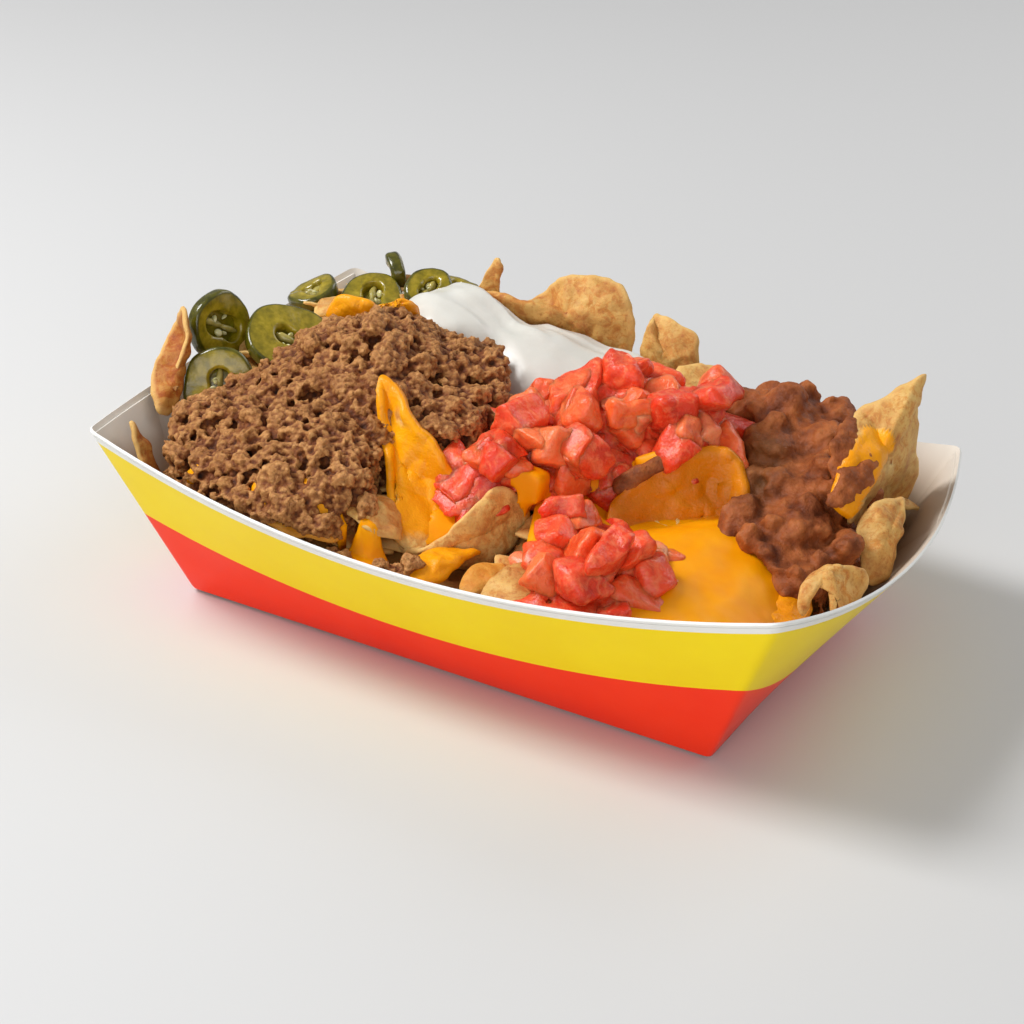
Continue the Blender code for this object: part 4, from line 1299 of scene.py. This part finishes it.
def build_tomatoes(node, name, seed):
    """Diced tomato over a core of its own, left off where sauce shows between the dice."""
    rng = random.Random(seed)
    core = voxel_skin(*drawn_in(node, 1.2), 0.9)
    smooth_mesh(core, 10)
    core_points, core_faces = arrays_of(core)
    bpy.data.meshes.remove(core)
    parts = [(core_points, core_faces)]
    tints = [np.full(len(core_points), 0.25)]
    for spacing, sink in ((8.0, 3.4), (9.5, 2.2)):
        for p, n in surface_points(node, spacing, rng, 0.05):
            flat = np.array((n[0], n[1], 0.0))
            at = p - n * sink - flat * 2.4
            if any(in_ellipse(at, *place) for place in TOMATO_BARE):
                continue
            tilt = upright_to(n)
            for share in (1.0, 0.8, 0.65, 0.5):
                size = np.array([rng.uniform(*reach) for reach in DIE_SIZE]) * share
                points, faces = die(size, rng)
                spin = np.array(Matrix.Rotation(rng.uniform(0, 6), 3, "Z"))
                points = points @ (tilt @ turned(rng, 0.7) @ spin).T + at
                if inside_tray(points, 1.5):
                    parts.append((points, faces))
                    draw = rng.random()
                    tints.append(np.full(len(points), draw if draw < PALE_DRAW else 1.0))
                    break
    points, faces = joined(parts)
    mesh = mesh_of(name, points, faces)
    add_shares(mesh, tint=np.concatenate(tints), relief=0.5)
    centres = points[core_faces].mean(axis=1)
    coated = np.zeros(len(faces), np.int32)
    for place in TOMATO_BARE:
        coated[: len(core_faces)] |= in_ellipse(centres, *place, 1.7)
    mesh.polygons.foreach_set("material_index", coated)
    finish_piece(name, mesh, [TOMATO, CHEESE], [node])


# Peppers


def principal_frame(points):
    """Middle and axes of a flat round piece: its plane's two and the way it faces."""
    middle = points.mean(axis=0)
    _, _, axes = np.linalg.svd(points - middle)
    facing = axes[2] if axes[2][2] >= 0 else -axes[2]
    return middle, axes[0], np.cross(facing, axes[0]), facing


def ring_profile(outer, hole, half, round_off):
    """A ring's section as (radius, height): flat faces with round corners."""
    profile = []
    middle, reach = (outer + hole) / 2, (outer - hole) / 2
    for quarter, (sx, sy) in enumerate(((1, 1), (-1, 1), (-1, -1), (1, -1))):
        for k in range(5):
            a = math.pi / 2 * (quarter + k / 4)
            radius = middle + sx * (reach - round_off) + round_off * math.cos(a)
            profile.append((radius, sy * (half - round_off) + round_off * math.sin(a)))
    return profile


def build_pepper(node, seed):
    """A pickled slice: dark skin, a ring of flesh, ribs across the hollow, a thin web behind, and seeds."""
    rng = random.Random(seed)
    points, _ = node_arrays(node)
    middle, u, v, facing = principal_frame(points)
    flat = points - middle
    radial = np.hypot(flat @ u, flat @ v)
    outer = radial.max() / 1.04
    hole = radial.min() / 0.95
    half = np.abs(flat @ facing).max() * 0.92
    phase = rng.uniform(0, 6)
    lobes = rng.choice((2, 3))

    def at(a, r, h):
        return middle + (u * math.cos(a) + v * math.sin(a)) * r + facing * h

    def inner_wave(a):
        return 1 + 0.3 * math.cos(lobes * a + phase)

    count = 72
    profile = ring_profile(outer, hole, half, min(1.1, half * 0.6))
    ring_points = []
    flesh = []
    for i in range(count):
        a = 2 * math.pi * i / count
        outline = 1 + 0.05 * math.cos(2 * a + phase) + 0.018 * math.cos(5 * a + 2 * phase)
        warp = 0.9 * math.cos(2 * a + 1.3 * phase)
        for r, h in profile:
            share = (outer - r) / (outer - hole)
            scale = outline + (inner_wave(a) - 1) * share**2
            wobble = 0.12 * noise.noise(Vector((a * 3, r, seed)))
            ring_points.append(at(a, r * scale + wobble, h + warp * 0.5 + wobble))
            flesh.append(min(1.0, max(0.0, (outer - 0.75 - r) * 1.8)))
    m = len(profile)
    faces = []
    for i in range(count):
        for k in range(m):
            a, b = i * m + k, i * m + (k + 1) % m
            c, d = ((i + 1) % count) * m + (k + 1) % m, ((i + 1) % count) * m + k
            faces += [(a, b, c), (a, c, d)]
    parts = [(np.array(ring_points), np.array(faces))]
    shares = [np.array(flesh)]
    pales = [np.zeros(len(ring_points))]

    def add(shape_points, shape_faces, flesh_share, pale_share):
        parts.append((shape_points, shape_faces))
        shares.append(np.full(len(shape_points), flesh_share))
        pales.append(np.full(len(shape_points), pale_share))

    disc, disc_faces = ball(3)
    shape = disc * np.array((hole * 1.35, hole * 1.35, 0.5))
    web = shape[:, :1] * u + shape[:, 1:2] * v + shape[:, 2:] * facing
    add(web + middle - facing * half * 0.45, disc_faces, 0.4, 0.0)
    for rib in range(lobes):
        a = (2 * math.pi * rib - phase) / lobes
        reach = u * math.cos(a) + v * math.sin(a)
        across = np.cross(facing, reach)
        shape = disc * np.array((hole * 0.75, 0.75 + 0.5 * rng.random(), half * 0.62))
        shape = shape[:, :1] * reach + shape[:, 1:2] * across + shape[:, 2:] * facing
        shape = shape + 0.35 * shake_at(shape, 2.0, seed + rib)
        add(shape + middle + reach * hole * 0.62, disc_faces, 0.95, 0.25)
    seed_points, seed_faces = ball(2)
    for _ in range(rng.randint(4, 7)):
        a = rng.uniform(0, 2 * math.pi)
        shape = (seed_points * np.array((1.15, 0.95, 0.4))) @ turned(rng).T
        place = at(a, hole * rng.uniform(0.2, 0.85), rng.uniform(-0.35, 0.3) * half)
        add(shape + place, seed_faces, 1.0, 1.0)
    points, faces = joined(parts)
    mesh = mesh_of(node + "_slice", points, faces)
    add_shares(mesh, flesh=np.concatenate(shares), pale=np.concatenate(pales))
    finish_piece(node + "_slice", mesh, [PEPPER], [node])


def build_stage():
    """A pale floor, soft lights and a camera where the photograph's was."""
    scene = bpy.context.scene
    floor = bpy.data.meshes.new("floor")
    bm = bmesh.new()
    bmesh.ops.create_grid(bm, x_segments=1, y_segments=1, size=4.0)
    bm.to_mesh(floor)
    bm.free()
    n = Nodes("floor_look")
    n.set(roughness=0.7)
    n.shader.inputs["Base Color"].default_value = (0.62, 0.62, 0.62, 1)
    floor.materials.append(n.material)
    obj = placed("floor", floor)
    obj.location.z = -0.0005
    world = bpy.data.worlds.new("studio")
    world.use_nodes = True
    sky = world.node_tree.nodes["Background"]
    sky.inputs["Color"].default_value = (1, 1, 1, 1)
    sky.inputs["Strength"].default_value = SKY_STRENGTH
    scene.world = world
    for name, place, size, power in LIGHTS:
        light = bpy.data.lights.new(name, "AREA")
        light.size = size
        light.energy = power
        lamp = placed(name, light)
        lamp.location = place
        lamp.rotation_euler = (LIT_PLACE - Vector(place)).to_track_quat("-Z", "Y").to_euler()
    azimuth, elevation, roll = (math.radians(a) for a in (CAMERA_AZIMUTH, CAMERA_ELEVATION, CAMERA_ROLL))
    level = math.cos(elevation)
    back = Vector((math.sin(azimuth) * level, -math.cos(azimuth) * level, math.sin(elevation)))
    right = (-back).cross(Vector((0, 0, 1))).normalized()
    up = right.cross(-back)
    across = right * math.cos(roll) + up * math.sin(roll)
    over = up * math.cos(roll) - right * math.sin(roll)
    data = bpy.data.cameras.new("camera")
    data.lens = CAMERA_LENS
    data.sensor_width = SENSOR_WIDTH
    camera = placed("camera", data)
    place = (Vector(CAMERA_TARGET) + back * CAMERA_DISTANCE) * MM
    turn = Matrix((across, over, back)).transposed().to_4x4()
    camera.matrix_world = Matrix.Translation(place) @ turn
    scene.camera = camera
    scene.view_settings.view_transform = "Standard"
    scene.view_settings.look = "None"


CUBE = subdivided_cube()
NAMES = list(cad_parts)
HEAP = [name for name in NAMES if name != "tray"]

build_stage()
build_tray()
bed = build_bed([name for name in HEAP if name != "chip_bed"])
heap_tree = tree_of(HEAP, bed)
build_beef(heap_tree)
build_beans()
build_cream()
build_sauce("cheese_sauce", "cheese_pool", [((31, -13, 0), (48, 8, 0), 13, 5.0)])
build_sauce("cheese_pocket", "cheese_fold")
build_drips(heap_tree)
build_smear()
build_tomatoes("tomatoes", "tomato_dice", 7)
build_tomatoes("tomatoes_front", "tomato_dice_front", 9)
SAUCED = {"chip_back_coated": all_sauce, "chip_fold": fold_sauce, "chip_tall": tall_sauce, "dish": all_sauce}
for chip in CHIPS:
    build_chip(chip, SAUCED.get(chip))
for number in range(1, 9):
    build_pepper(f"jalapeno_{number}", number)
